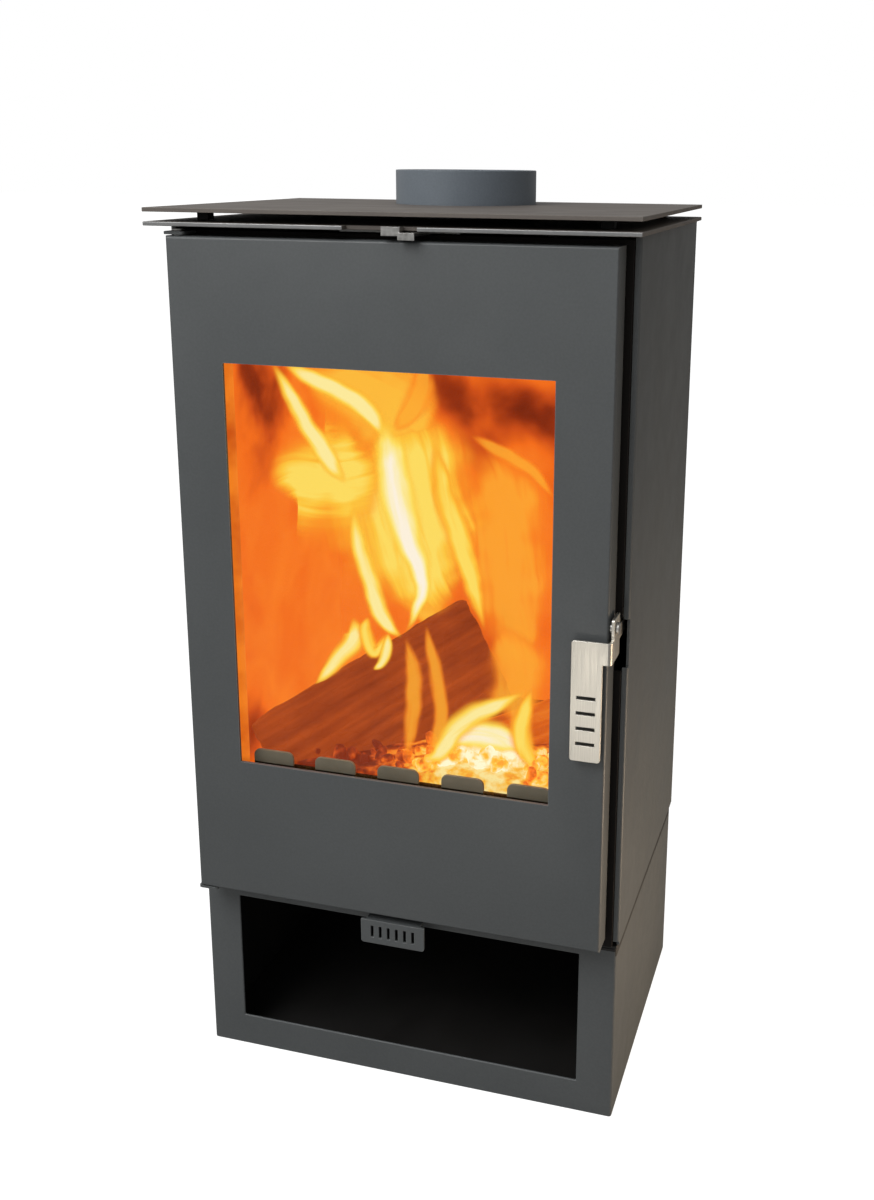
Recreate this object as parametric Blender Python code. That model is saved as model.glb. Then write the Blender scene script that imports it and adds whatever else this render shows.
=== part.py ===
"""Wood burning stove on an open log store.

A welded, brick lined firebox stands in a folded steel body, between a log store and two spaced top
plates. Lengths are in metres and +Z is up. Places are written from the middle of the door's front
face at floor level, +Y to the back, and one empty centres the whole stove on the world's origin.
"""

import math

import bmesh
import bpy
from mathutils import Vector

# Overall sizes
BODY_WIDTH = 0.466  # over the side panels
BODY_DEPTH = 0.328  # side panel, front fold to rear fold
STOVE_HEIGHT = 0.930  # floor to the upper top plate's upper face
BASE_HEIGHT = 0.204  # floor to the joint between log store and body

# Sheet and plate
SHEET = 0.003  # folded outer sheet
FIRE_PLATE = 0.004  # welded firebox
TOP_PLATE = 0.004  # both top plates
THIN_SHEET = 0.002  # ash pan, door liner and glass retainer
SEAT = 0.0003  # space left between pieces that touch
FOLD_RADIUS = 0.003  # outside radius of a fold
ROUND_STEPS = 5  # facets in a small round corner

# Top plates and flue collar
TOP_OVERHANG_SIDE = 0.007
TOP_OVERHANG_FRONT = 0.005
TOP_SETBACK_REAR = 0.012
PLATE_GAP = 0.009  # air gap between the two top plates
SPACER_SIDE = 0.012
SPACER_INSET_SIDE = 0.040
SPACER_INSET_FRONT = 0.050
SPACER_INSET_REAR = 0.030
COLLAR_RADIUS = 0.075
COLLAR_WALL = 0.004
COLLAR_RISE = 0.035
COLLAR_TO_BACK = 0.110  # collar's axis to the body's back
COLLAR_CLEARANCE = 0.001
COLLAR_FLANGE_RADIUS = 0.088
COLLAR_SEGMENTS = 72

# Body
RETURN_FRONT = 0.006  # side panel's front fold
RETURN_REAR = 0.018
PANEL_SETBACK = 0.003
CONVECTION_GAP = 0.018  # side panel to firebox wall
REAR_GAP = 0.018
TOP_SPACE = 0.016  # firebox top to lower top plate
CORNER_RELIEF = 0.005
LOUVRE_WIDTH = 0.060
LOUVRE_HEIGHT = 0.006
LOUVRE_PITCH_X = 0.100
LOUVRE_PITCH_Z = 0.018
LOUVRE_INSET = 0.050
LOUVRE_COLUMNS = 4
LOUVRE_ROWS = 3

# Log store
BASE_INSET = 0.002  # body side to log store side
BASE_STILE = 0.039
BASE_RAIL = 0.037
BASE_HEAD = 0.0124  # front sheet above the log opening
BASE_FLOOR_RISE = 0.009
FOOT_FLANGE = 0.025

# Firebox
LINER_THICKNESS = 0.025
PLENUM_HEIGHT = 0.022  # joint with the log store to the firebox floor
ASH_OPENING_WIDTH = 0.292
ASH_OPENING_HEIGHT = 0.080
ASH_PAN_CLEARANCE = 0.006
ASH_PAN_REAR_GAP = 0.014  # ash pan to the air port behind it
ASH_PAN_LIP = 0.010
SHELF_LEVEL = 0.108  # joint with the log store to the grate shelf's upper face
GUARD_SILL = 0.0137  # grate shelf to the fire opening's lower edge
FIRE_OPENING_WIDTH = 0.344
FIRE_OPENING_HEAD = 0.066  # head of the front frame above the fire opening
LINER_HEAD = 0.092  # side bricks' top to the firebox top
GRATE_WIDTH = 0.230
GRATE_DEPTH = 0.170
GRATE_THICKNESS = 0.018
GRATE_BARS = 9
GRATE_SLOT = 0.012
GRATE_LEDGE = 0.010  # how far the grate laps the shelf
BAFFLE_THROAT = 0.055  # smoke gap in front of the baffle board
BAFFLE_PLATE_RISE = 0.035
BAFFLE_PLATE_WIDTH = 0.300
BAFFLE_PLATE_DEPTH = 0.150
AIRWASH_DEPTH = 0.040
AIRWASH_DROP = 0.058
AIRWASH_SLIT = 0.008

# Log guard
GUARD_TABS = 5
GUARD_TAB_WIDTH = 0.045
GUARD_TAB_PITCH = 0.0695
GUARD_TAB_HEIGHT = 0.032
GUARD_TAB_ROUND = 0.007
GUARD_BAND = 0.015
GUARD_OVERHANG = 0.007  # guard's face in front of the firebox
GUARD_SHELF = 0.040

# Door
DOOR_SIDE_GAP = 0.013  # door edge to body side
DOOR_TOP_GAP = 0.009
DOOR_BOTTOM_GAP = 0.011
DOOR_DEPTH = 0.028
DOOR_REAR_GAP = 0.003
WINDOW_STILE = 0.055
WINDOW_TOP_RAIL = 0.119
WINDOW_BOTTOM_RAIL = 0.153
GLASS_THICKNESS = 0.004
GLASS_LAP = 0.016
GASKET_THICKNESS = 0.002
GASKET_INSET = 0.002
RETAINER_OUTER_LAP = 0.027
RETAINER_INNER_LAP = 0.005
RETAINER_SCREW_LAP = 0.0215
SCREW_RADIUS = 0.0025
SCREW_HEAD_RADIUS = 0.0045
SCREW_HEAD_HEIGHT = 0.0025
SCREW_SEGMENTS = 20
SCREW_MARGIN = 0.030
ROPE_RADIUS = 0.0052
ROPE_INSET = 0.0147
ROPE_CORNER = 0.020

# Hinges
HINGE_INSET = 0.008  # door's edge to the hinge axis
HINGE_SETBACK = 0.012
HINGE_PIN_RADIUS = 0.004
HINGE_PIN_REACH = 0.011
PIN_CLEARANCE = 0.0003
PIN_SEGMENTS = 24
BRACKET_WIDTH = 0.022
BRACKET_GAP = 0.001
BRACKET_OVERHANG = 0.010

# Handle and latch
HANDLE_THICKNESS = 0.003
HANDLE_STANDOFF = 0.007
HANDLE_WIDTH = 0.030
HANDLE_LENGTH = 0.121
HANDLE_EDGE_INSET = 0.003  # grip's side to the door's edge
HANDLE_LIFT = 0.330  # grip's upper edge above the door's lower edge
HANDLE_NECK = 0.022
HANDLE_ROUND = 0.003
HANDLE_BEND = 0.004
HANDLE_SLOTS = 4
HANDLE_SLOT_WIDTH = 0.018
HANDLE_SLOT_HEIGHT = 0.0034
HANDLE_SLOT_PITCH = 0.0155
HANDLE_SLOT_MARGIN = 0.018
LEG_GAP = 0.0025  # door's edge to the handle's side leg
LEG_RISE = 0.020
LEG_DEPTH = 0.016
FINGER_INSET = 0.018  # finger's end behind the firebox front
FINGER_HEIGHT = 0.014
FINGER_DROP = 0.009
PIVOT_SETBACK = 0.010
PIVOT_RADIUS = 0.004
PIVOT_HEAD_RADIUS = 0.006
PIVOT_HEAD = 0.0025
PIVOT_NUT = 0.005
PIVOT_RISE = 0.009  # pivot above the grip's upper edge
KEEPER_RADIUS = 0.005
KEEPER_GAP = 0.0006
KEEPER_INSET = 0.007  # keeper's axis to the finger's end
CATCH_NOTCH = 0.049
CATCH_NOTCH_RISE = 0.010

# Air slides
SLIDE_THICKNESS = 0.003
SLIDE_CLEARANCE = 0.001
AIR_NOTCH_WIDTH = 0.072
AIR_NOTCH_DEPTH = 0.011
AIR_GRIP_WIDTH = 0.033
AIR_GRIP_PAD = 0.018
AIR_GRIP_CLEARANCE = 0.001
AIR_TAB_DROP = 0.0035
AIR_VALVE_WIDTH = 0.120
AIR_VALVE_DEPTH = 0.058
AIR_VALVE_INSET = 0.011  # valve behind the firebox front
AIR_TRAVEL = 0.037
VALVE_SLOTS = 4
VALVE_SLOT_WIDTH = 0.009
VALVE_SLOT_LENGTH = 0.038
VALVE_SLOT_PITCH = 0.026
LEVER_WIDTH = 0.060
LEVER_TAB_WIDTH = 0.070
LEVER_TAB_DROP = 0.027
LEVER_TAB_SETBACK = 0.002
LEVER_LAP = 0.006  # how far the lower slide covers the sheet behind its port
LEVER_SLOTS = 6
LEVER_SLOT_WIDTH = 0.003
LEVER_SLOT_PITCH = 0.009
LEVER_SLOT_MARGIN = 0.007
GUIDE_WIDTH = 0.010
GUIDE_INSET = 0.025  # guides behind the firebox front
GUIDE_LENGTH = 0.180
PRIMARY_PORT_WIDTH = 0.040
PRIMARY_PORT_DEPTH = 0.025
PRIMARY_PORT_MARGIN = 0.012

# Places that follow from the sizes, in front view
HALF_BODY = BODY_WIDTH / 2
HALF_PANEL = HALF_BODY - SHEET
HALF_FIREBOX = HALF_PANEL - CONVECTION_GAP
HALF_CHAMBER = HALF_FIREBOX - FIRE_PLATE
HALF_BASE = HALF_BODY - BASE_INSET
HALF_DOOR = HALF_BODY - DOOR_SIDE_GAP
HALF_WINDOW = HALF_DOOR - WINDOW_STILE
HALF_TOP = HALF_BODY + TOP_OVERHANG_SIDE

# Places from the door's face to the back
FRONT_PLANE = DOOR_DEPTH + DOOR_REAR_GAP
BODY_FRONT = FRONT_PLANE + PANEL_SETBACK
BODY_BACK = BODY_FRONT + BODY_DEPTH
CHAMBER_FRONT = FRONT_PLANE + FIRE_PLATE + SEAT
FIREBOX_BACK = BODY_BACK - REAR_GAP
CHAMBER_BACK = FIREBOX_BACK - FIRE_PLATE
PORT_BACK = CHAMBER_BACK - PRIMARY_PORT_MARGIN
PORT_FRONT = PORT_BACK - PRIMARY_PORT_DEPTH
GRATE_Y = (CHAMBER_FRONT + CHAMBER_BACK) / 2
GUARD_FRONT = FRONT_PLANE - GUARD_OVERHANG
VALVE_FRONT = CHAMBER_FRONT + AIR_VALVE_INSET
VALVE_BACK = VALVE_FRONT + AIR_VALVE_DEPTH
DOOR_LINER_FRONT = FRONT_PLANE - 2 * SEAT - 2 * ROPE_RADIUS - THIN_SHEET
FINGER_END = CHAMBER_FRONT + FINGER_INSET
COLLAR_Y = BODY_BACK - COLLAR_TO_BACK
HANDLE_FRONT = -(HANDLE_STANDOFF + HANDLE_THICKNESS)
SHIELD_BACK = BODY_BACK + SEAT + THIN_SHEET

# Levels
UPPER_PLATE_LOW = STOVE_HEIGHT - TOP_PLATE
LOWER_PLATE_HIGH = UPPER_PLATE_LOW - PLATE_GAP
LOWER_PLATE_LOW = LOWER_PLATE_HIGH - TOP_PLATE
BODY_TOP = LOWER_PLATE_LOW - SEAT
SLIDE_HIGH = LOWER_PLATE_LOW - SLIDE_CLEARANCE
SLIDE_LOW = SLIDE_HIGH - SLIDE_THICKNESS
FIREBOX_TOP = LOWER_PLATE_LOW - TOP_SPACE
CHAMBER_TOP = FIREBOX_TOP - FIRE_PLATE
BASE_SHEET_HIGH = BASE_HEIGHT - SEAT
BASE_SHEET_LOW = BASE_SHEET_HIGH - SHEET
LEVER_HIGH = BASE_HEIGHT + SLIDE_THICKNESS
FLOOR_LOW = BASE_HEIGHT + PLENUM_HEIGHT
FLOOR_HIGH = FLOOR_LOW + FIRE_PLATE
SHELF_HIGH = BASE_HEIGHT + SHELF_LEVEL
FIRE_OPENING_LOW = SHELF_HIGH + GUARD_SILL
FIRE_OPENING_HIGH = SLIDE_LOW - FIRE_OPENING_HEAD
LINER_LOW = SHELF_HIGH + SEAT
LINER_HIGH = CHAMBER_TOP - LINER_HEAD
DOOR_LOW = BASE_HEIGHT + DOOR_BOTTOM_GAP
DOOR_HIGH = LOWER_PLATE_LOW - DOOR_TOP_GAP
WINDOW_LOW = DOOR_LOW + WINDOW_BOTTOM_RAIL
WINDOW_HIGH = DOOR_HIGH - WINDOW_TOP_RAIL

# Joint axes
HINGE_AXIS = Vector((HINGE_INSET - HALF_DOOR, HINGE_SETBACK, 0))
HANDLE_HIGH = DOOR_LOW + HANDLE_LIFT
LEG_INNER = HALF_DOOR + LEG_GAP
LEG_OUTER = LEG_INNER + HANDLE_THICKNESS
PIVOT_AXIS = Vector((LEG_INNER, PIVOT_SETBACK, HANDLE_HIGH + PIVOT_RISE))
FINGER_HIGH = PIVOT_AXIS.z - FINGER_DROP + FINGER_HEIGHT / 2
CATCH_HIGH = HANDLE_HIGH + CATCH_NOTCH_RISE
CATCH_LOW = CATCH_HIGH - CATCH_NOTCH

PLACES = {}


# ---------------------------------------------------------------- making and placing pieces


def finish(name, colour, roughness, metallic):
    """A surface finish: its colour, roughness and metallic value."""
    made = bpy.data.materials.new(name)
    made.use_nodes = True
    shader = made.node_tree.nodes["Principled BSDF"]
    shader.inputs["Base Color"].default_value = (*colour, 1)
    shader.inputs["Roughness"].default_value = roughness
    shader.inputs["Metallic"].default_value = metallic
    return made


def group(name, place, within=None):
    """An empty that carries the pieces which stand or move together."""
    empty = bpy.data.objects.new(name, None)
    bpy.context.collection.objects.link(empty)
    PLACES[name] = Vector(place)
    empty.parent = within
    empty.location = PLACES[name] - (PLACES[within.name] if within else Vector())
    return empty


def place(name, bm, within, look=None):
    """Turn a bmesh drawn in the stove's places into an object at its own middle."""
    bmesh.ops.recalc_face_normals(bm, faces=bm.faces)
    low = Vector([min(v.co[i] for v in bm.verts) for i in range(3)])
    high = Vector([max(v.co[i] for v in bm.verts) for i in range(3)])
    middle = (low + high) / 2
    bmesh.ops.translate(bm, verts=bm.verts, vec=-middle)
    mesh = bpy.data.meshes.new(name)
    bm.to_mesh(mesh)
    bm.free()
    piece = bpy.data.objects.new(name, mesh)
    bpy.context.collection.objects.link(piece)
    piece.parent = within
    piece.location = middle - PLACES[within.name]
    if look:
        mesh.materials.append(look)
    return piece


def boxes(*corners):
    """A bmesh of boxes, each given by its lowest and highest corner."""
    bm = bmesh.new()
    for low, high in corners:
        cube = bmesh.ops.create_cube(bm, size=1.0)["verts"]
        for vert in cube:
            vert.co = Vector([low[i] + (vert.co[i] + 0.5) * (high[i] - low[i]) for i in range(3)])
    return bm


def prism(outline, axis, low, high):
    """A bmesh of an outline extruded along axis 0, 1 or 2 from low to high."""
    bm = bmesh.new()
    corners = []
    for u, v in outline:
        point = [u, v]
        point.insert(axis, low)
        corners.append(bm.verts.new(point))
    side = bm.faces.new(corners)
    raised = bmesh.ops.extrude_face_region(bm, geom=[side])["geom"]
    step = Vector((0, 0, 0))
    step[axis] = high - low
    bmesh.ops.translate(bm, verts=[e for e in raised if isinstance(e, bmesh.types.BMVert)], vec=step)
    return bm


def turned(profile, axis, centre, segments):
    """A bmesh turned round an axis: profile holds (radius, height along the axis) points."""
    bm = bmesh.new()
    across = [i for i in range(3) if i != axis]
    rings = []
    for radius, height in profile:
        count = segments if radius else 1
        ring = []
        for step in range(count):
            angle = 2 * math.pi * step / segments
            point = Vector(centre)
            point[axis] = height
            point[across[0]] += radius * math.cos(angle)
            point[across[1]] += radius * math.sin(angle)
            ring.append(bm.verts.new(point))
        rings.append(ring)
    pairs = list(zip(rings, rings[1:]))
    if profile[0][0]:
        pairs.append((rings[-1], rings[0]))
    for lower, upper in pairs:
        for step in range(segments):
            after = (step + 1) % segments
            corners = [lower[step % len(lower)], lower[after % len(lower)]]
            corners += [upper[after % len(upper)], upper[step % len(upper)]]
            bm.faces.new(list(dict.fromkeys(corners)))
    return bm


def rounded(corners):
    """An outline whose corners (u, v, radius) are turned into arcs where the radius isn't 0."""
    outline = []
    for index, (u, v, radius) in enumerate(corners):
        here = Vector((u, v))
        if not radius:
            outline.append(here)
            continue
        before = (Vector(corners[index - 1][:2]) - here).normalized()
        after = (Vector(corners[(index + 1) % len(corners)][:2]) - here).normalized()
        half = before.angle(after) / 2
        middle = here + (before + after).normalized() * radius / math.sin(half)
        start = here + before * radius / math.tan(half) - middle
        end = here + after * radius / math.tan(half) - middle
        for step in range(ROUND_STEPS + 1):
            outline.append(middle + start.slerp(end, step / ROUND_STEPS).normalized() * radius)
    return outline


def rectangle(u_low, u_high, v_low, v_high, radius=0):
    """A rectangle's outline, with its corners rounded by radius."""
    corners = [(u_low, v_low), (u_high, v_low), (u_high, v_high), (u_low, v_high)]
    return rounded([(u, v, radius) for u, v in corners])


def cut(piece, name, bm):
    """Cut a bmesh out of a piece."""
    cutter = place(name, bm, piece.parent)
    cutter.hide_render = True
    cutter.display_type = "WIRE"
    modifier = piece.modifiers.new(name, "BOOLEAN")
    modifier.operation = "DIFFERENCE"
    modifier.object = cutter


def weld(piece, name, bm):
    """Weld a bmesh onto a piece, as one solid."""
    cut(piece, name, bm)
    piece.modifiers[name].operation = "UNION"


def smooth(piece):
    """Shade a round piece smooth, with its real edges left sharp."""
    piece.data.shade_smooth()
    piece.data.set_sharp_from_angle(angle=math.radians(35))


for old in list(bpy.data.objects):
    bpy.data.objects.remove(old)

DARK_PAINT = finish("dark_grey_stove_paint", (0.090, 0.095, 0.098), 0.45, 0.3)
WARM_PAINT = finish("matt_stove_paint", (0.120, 0.105, 0.090), 0.60, 0.2)
COLLAR_PAINT = finish("satin_collar_paint", (0.085, 0.105, 0.125), 0.40, 0.3)
BLACK_STEEL = finish("black_firebox_steel", (0.020, 0.020, 0.020), 0.70, 0.4)
STAINLESS = finish("brushed_stainless", (0.680, 0.660, 0.610), 0.30, 1.0)
ZINC = finish("zinc_plated_steel", (0.450, 0.450, 0.440), 0.40, 1.0)
CAST_IRON = finish("cast_iron", (0.060, 0.060, 0.060), 0.75, 0.6)
VERMICULITE = finish("vermiculite_board", (0.560, 0.440, 0.270), 0.95, 0.0)
ROPE = finish("glass_fibre_rope", (0.060, 0.060, 0.058), 0.95, 0.0)
GLASS = finish("ceramic_glass", (0.900, 0.850, 0.740), 0.05, 0.0)

MIDDLE_Y = (HANDLE_FRONT + SHIELD_BACK) / 2
stove = group("stove_frame", (0, 0, 0))
stove.location = (0, -MIDDLE_Y, 0)
door_axis = group("door_hinge_axis", HINGE_AXIS, stove)
handle_axis = group("handle_pivot_axis", PIVOT_AXIS, door_axis)
upper_slide = group("secondary_air_slide_rest", (0, 0, SLIDE_LOW), stove)
lower_slide = group("primary_air_slide_rest", (0, 0, BASE_HEIGHT), stove)


# ---------------------------------------------------------------- log store


def log_store():
    """A folded sheet open at the front, with its back, floor, foot flange and top sheet."""
    inner = HALF_BASE - SHEET
    plan = [
        (-HALF_BASE, BODY_FRONT, FOLD_RADIUS),
        (HALF_BASE, BODY_FRONT, FOLD_RADIUS),
        (HALF_BASE, BODY_BACK, 0),
        (inner, BODY_BACK, 0),
        (inner, BODY_FRONT + SHEET, 0),
        (-inner, BODY_FRONT + SHEET, 0),
        (-inner, BODY_BACK, 0),
        (-HALF_BASE, BODY_BACK, 0),
    ]
    high = BASE_SHEET_LOW - SEAT
    shell = place("base_shell", prism(rounded(plan), 2, 0, high), stove, DARK_PAINT)
    mouth = HALF_BASE - BASE_STILE
    mouth_box = ((-mouth, BODY_FRONT - SHEET, BASE_RAIL), (mouth, BODY_FRONT + 2 * SHEET, high - BASE_HEAD))
    cut(shell, "cut_log_opening", boxes(mouth_box))
    smooth(shell)

    inside = inner - SEAT
    back_front = BODY_BACK - SHEET
    back = boxes(((-inside, back_front, 0), (inside, BODY_BACK, high)))
    place("base_back", back, stove, DARK_PAINT)
    floor_low = (-inside, BODY_FRONT + SHEET + SEAT, BASE_FLOOR_RISE)
    floor_high = (inside, back_front - SEAT, BASE_FLOOR_RISE + SHEET)
    place("base_floor", boxes((floor_low, floor_high)), stove, DARK_PAINT)
    flange_low = (floor_low[0], floor_low[1], 0)
    flange_high = (floor_high[0], floor_high[1], SHEET)
    flange = place("base_foot_flange", boxes((flange_low, flange_high)), stove, DARK_PAINT)
    hole_low = (flange_low[0] + FOOT_FLANGE, flange_low[1] + FOOT_FLANGE, -SHEET)
    hole_high = (flange_high[0] - FOOT_FLANGE, flange_high[1] - FOOT_FLANGE, 2 * SHEET)
    cut(flange, "cut_foot_flange", boxes((hole_low, hole_high)))

    top_low = (-HALF_BASE, BODY_FRONT, BASE_SHEET_LOW)
    top = place("base_top", boxes((top_low, (HALF_BASE, BODY_BACK, BASE_SHEET_HIGH))), stove, DARK_PAINT)
    cut(top, "cut_primary_inlet", boxes(primary_port(BASE_SHEET_LOW, BASE_SHEET_HIGH)))


def primary_port(low, high):
    """The primary air port through a sheet from low to high, near the firebox's back."""
    half = PRIMARY_PORT_WIDTH / 2
    return (-half, PORT_FRONT, low - SHEET), (half, PORT_BACK, high + SHEET)


# ---------------------------------------------------------------- body


def side_panel(name, side):
    """A side panel with a narrow fold at the front and a wider one at the back."""
    plan = [
        (HALF_BODY, BODY_FRONT, FOLD_RADIUS),
        (HALF_BODY, BODY_BACK, FOLD_RADIUS),
        (HALF_BODY - RETURN_REAR, BODY_BACK, 0),
        (HALF_BODY - RETURN_REAR, BODY_BACK - SHEET, 0),
        (HALF_PANEL, BODY_BACK - SHEET, 0),
        (HALF_PANEL, BODY_FRONT + SHEET, 0),
        (HALF_BODY - RETURN_FRONT, BODY_FRONT + SHEET, 0),
        (HALF_BODY - RETURN_FRONT, BODY_FRONT, 0),
    ]
    outline = [(side * point[0], point[1]) for point in rounded(plan)]
    panel = place(name, prism(outline, 2, BASE_HEIGHT, BODY_TOP), stove, DARK_PAINT)
    smooth(panel)
    edges = sorted((side * (HALF_BODY - RETURN_FRONT - SHEET), side * (HALF_BODY + SHEET)))
    front = BODY_FRONT - SHEET
    back = BODY_FRONT + SHEET + FOLD_RADIUS / 3
    relief = ((edges[0], front, BASE_HEIGHT - SHEET), (edges[1], back, BASE_HEIGHT + CORNER_RELIEF))
    cut(panel, f"cut_{name}_relief", boxes(relief))
    return panel, (edges, front, back)


def body_panels():
    """Side panels, of which the right one is notched for the latch, and a louvred rear shield."""
    side_panel("side_panel_left", -1)
    panel, (edges, front, back) = side_panel("side_panel_right", 1)
    cut(panel, "cut_catch_notch", boxes(((edges[0], front, CATCH_LOW), (edges[1], back, CATCH_HIGH))))

    shield_front = BODY_BACK + SEAT
    shield_box = ((-HALF_BODY, shield_front, BASE_HEIGHT), (HALF_BODY, SHIELD_BACK, BODY_TOP))
    shield = place("rear_shield", boxes(shield_box), stove, DARK_PAINT)
    slots = []
    for level, step in ((BASE_HEIGHT + LOUVRE_INSET, 1), (BODY_TOP - LOUVRE_INSET, -1)):
        for row in range(LOUVRE_ROWS):
            for column in range(LOUVRE_COLUMNS):
                x = (column - (LOUVRE_COLUMNS - 1) / 2) * LOUVRE_PITCH_X
                z = level + step * row * LOUVRE_PITCH_Z
                low = (x - LOUVRE_WIDTH / 2, shield_front - SHEET, z - LOUVRE_HEIGHT / 2)
                high = (x + LOUVRE_WIDTH / 2, SHIELD_BACK + SHEET, z + LOUVRE_HEIGHT / 2)
                slots.append((low, high))
    cut(shield, "cut_louvres", boxes(*slots))


def top_plates():
    """Two spaced top plates with the flue collar through both, and the collar seated below them."""
    front = -TOP_OVERHANG_FRONT
    back = BODY_BACK - TOP_SETBACK_REAR
    centre = (0, COLLAR_Y, 0)
    hole = COLLAR_RADIUS + COLLAR_CLEARANCE
    levels = (
        ("lower_top_plate", LOWER_PLATE_LOW, LOWER_PLATE_HIGH),
        ("upper_top_plate", UPPER_PLATE_LOW, STOVE_HEIGHT),
    )
    for name, low, high in levels:
        corners = ((-HALF_TOP, front, low), (HALF_TOP, back, high))
        plate = place(name, boxes(corners), stove, WARM_PAINT)
        reach = ((0, low - SHEET), (hole, low - SHEET), (hole, high + SHEET), (0, high + SHEET))
        cut(plate, f"cut_{name}_flue", turned(reach, 2, centre, COLLAR_SEGMENTS))
    half_notch = AIR_NOTCH_WIDTH / 2
    notch_low = (-half_notch, front - SHEET, LOWER_PLATE_LOW - SHEET)
    notch_high = (half_notch, front + AIR_NOTCH_DEPTH, LOWER_PLATE_HIGH + SHEET)
    cut(bpy.data.objects["lower_top_plate"], "cut_air_notch", boxes((notch_low, notch_high)))

    half_spacer = SPACER_SIDE / 2
    x = HALF_TOP - SPACER_INSET_SIDE
    middles = [(s * x, y) for y in (front + SPACER_INSET_FRONT, back - SPACER_INSET_REAR) for s in (-1, 1)]
    for number, (mx, my) in enumerate(middles, 1):
        low = (mx - half_spacer, my - half_spacer, LOWER_PLATE_HIGH + SEAT)
        high = (mx + half_spacer, my + half_spacer, UPPER_PLATE_LOW - SEAT)
        place(f"plate_spacer_{number}", boxes((low, high)), stove, BLACK_STEEL)

    bore = COLLAR_RADIUS - COLLAR_WALL
    foot = FIREBOX_TOP + SEAT
    rim = STOVE_HEIGHT + COLLAR_RISE
    profile = [
        (bore, foot),
        (COLLAR_FLANGE_RADIUS, foot),
        (COLLAR_FLANGE_RADIUS, foot + SHEET),
        (COLLAR_RADIUS, foot + SHEET),
        (COLLAR_RADIUS, rim),
        (bore, rim),
    ]
    smooth(place("flue_collar", turned(profile, 2, centre, COLLAR_SEGMENTS), stove, COLLAR_PAINT))


# ---------------------------------------------------------------- firebox


def firebox_front():
    """The front frame: fire opening, ash pan opening, and room for the latch and the lower slide."""
    half = HALF_BODY - RETURN_FRONT - SEAT
    back = FRONT_PLANE + FIRE_PLATE
    high = SLIDE_LOW - SEAT
    front = place(
        "firebox_front", boxes(((-half, FRONT_PLANE, BASE_HEIGHT), (half, back, high))), stove, BLACK_STEEL
    )
    before = FRONT_PLANE - SHEET
    behind = back + SHEET
    half_fire = FIRE_OPENING_WIDTH / 2
    half_ash = ASH_OPENING_WIDTH / 2
    half_lever = LEVER_WIDTH / 2 + SLIDE_CLEARANCE
    ash_high = FLOOR_HIGH + ASH_OPENING_HEIGHT
    lever_room = LEVER_HIGH + SEAT
    latch_low = CATCH_LOW - SHEET
    latch_high = CATCH_HIGH + SHEET
    openings = [
        ((-half_fire, before, FIRE_OPENING_LOW), (half_fire, behind, FIRE_OPENING_HIGH)),
        ((-half_ash, before, FLOOR_HIGH), (half_ash, behind, ash_high)),
        ((-half_lever, before, BASE_HEIGHT - SHEET), (half_lever, behind, lever_room)),
        ((HALF_DOOR - SEAT, before, latch_low), (half + SHEET, behind, latch_high)),
    ]
    cut(front, "cut_front_openings", boxes(*openings))


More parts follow.
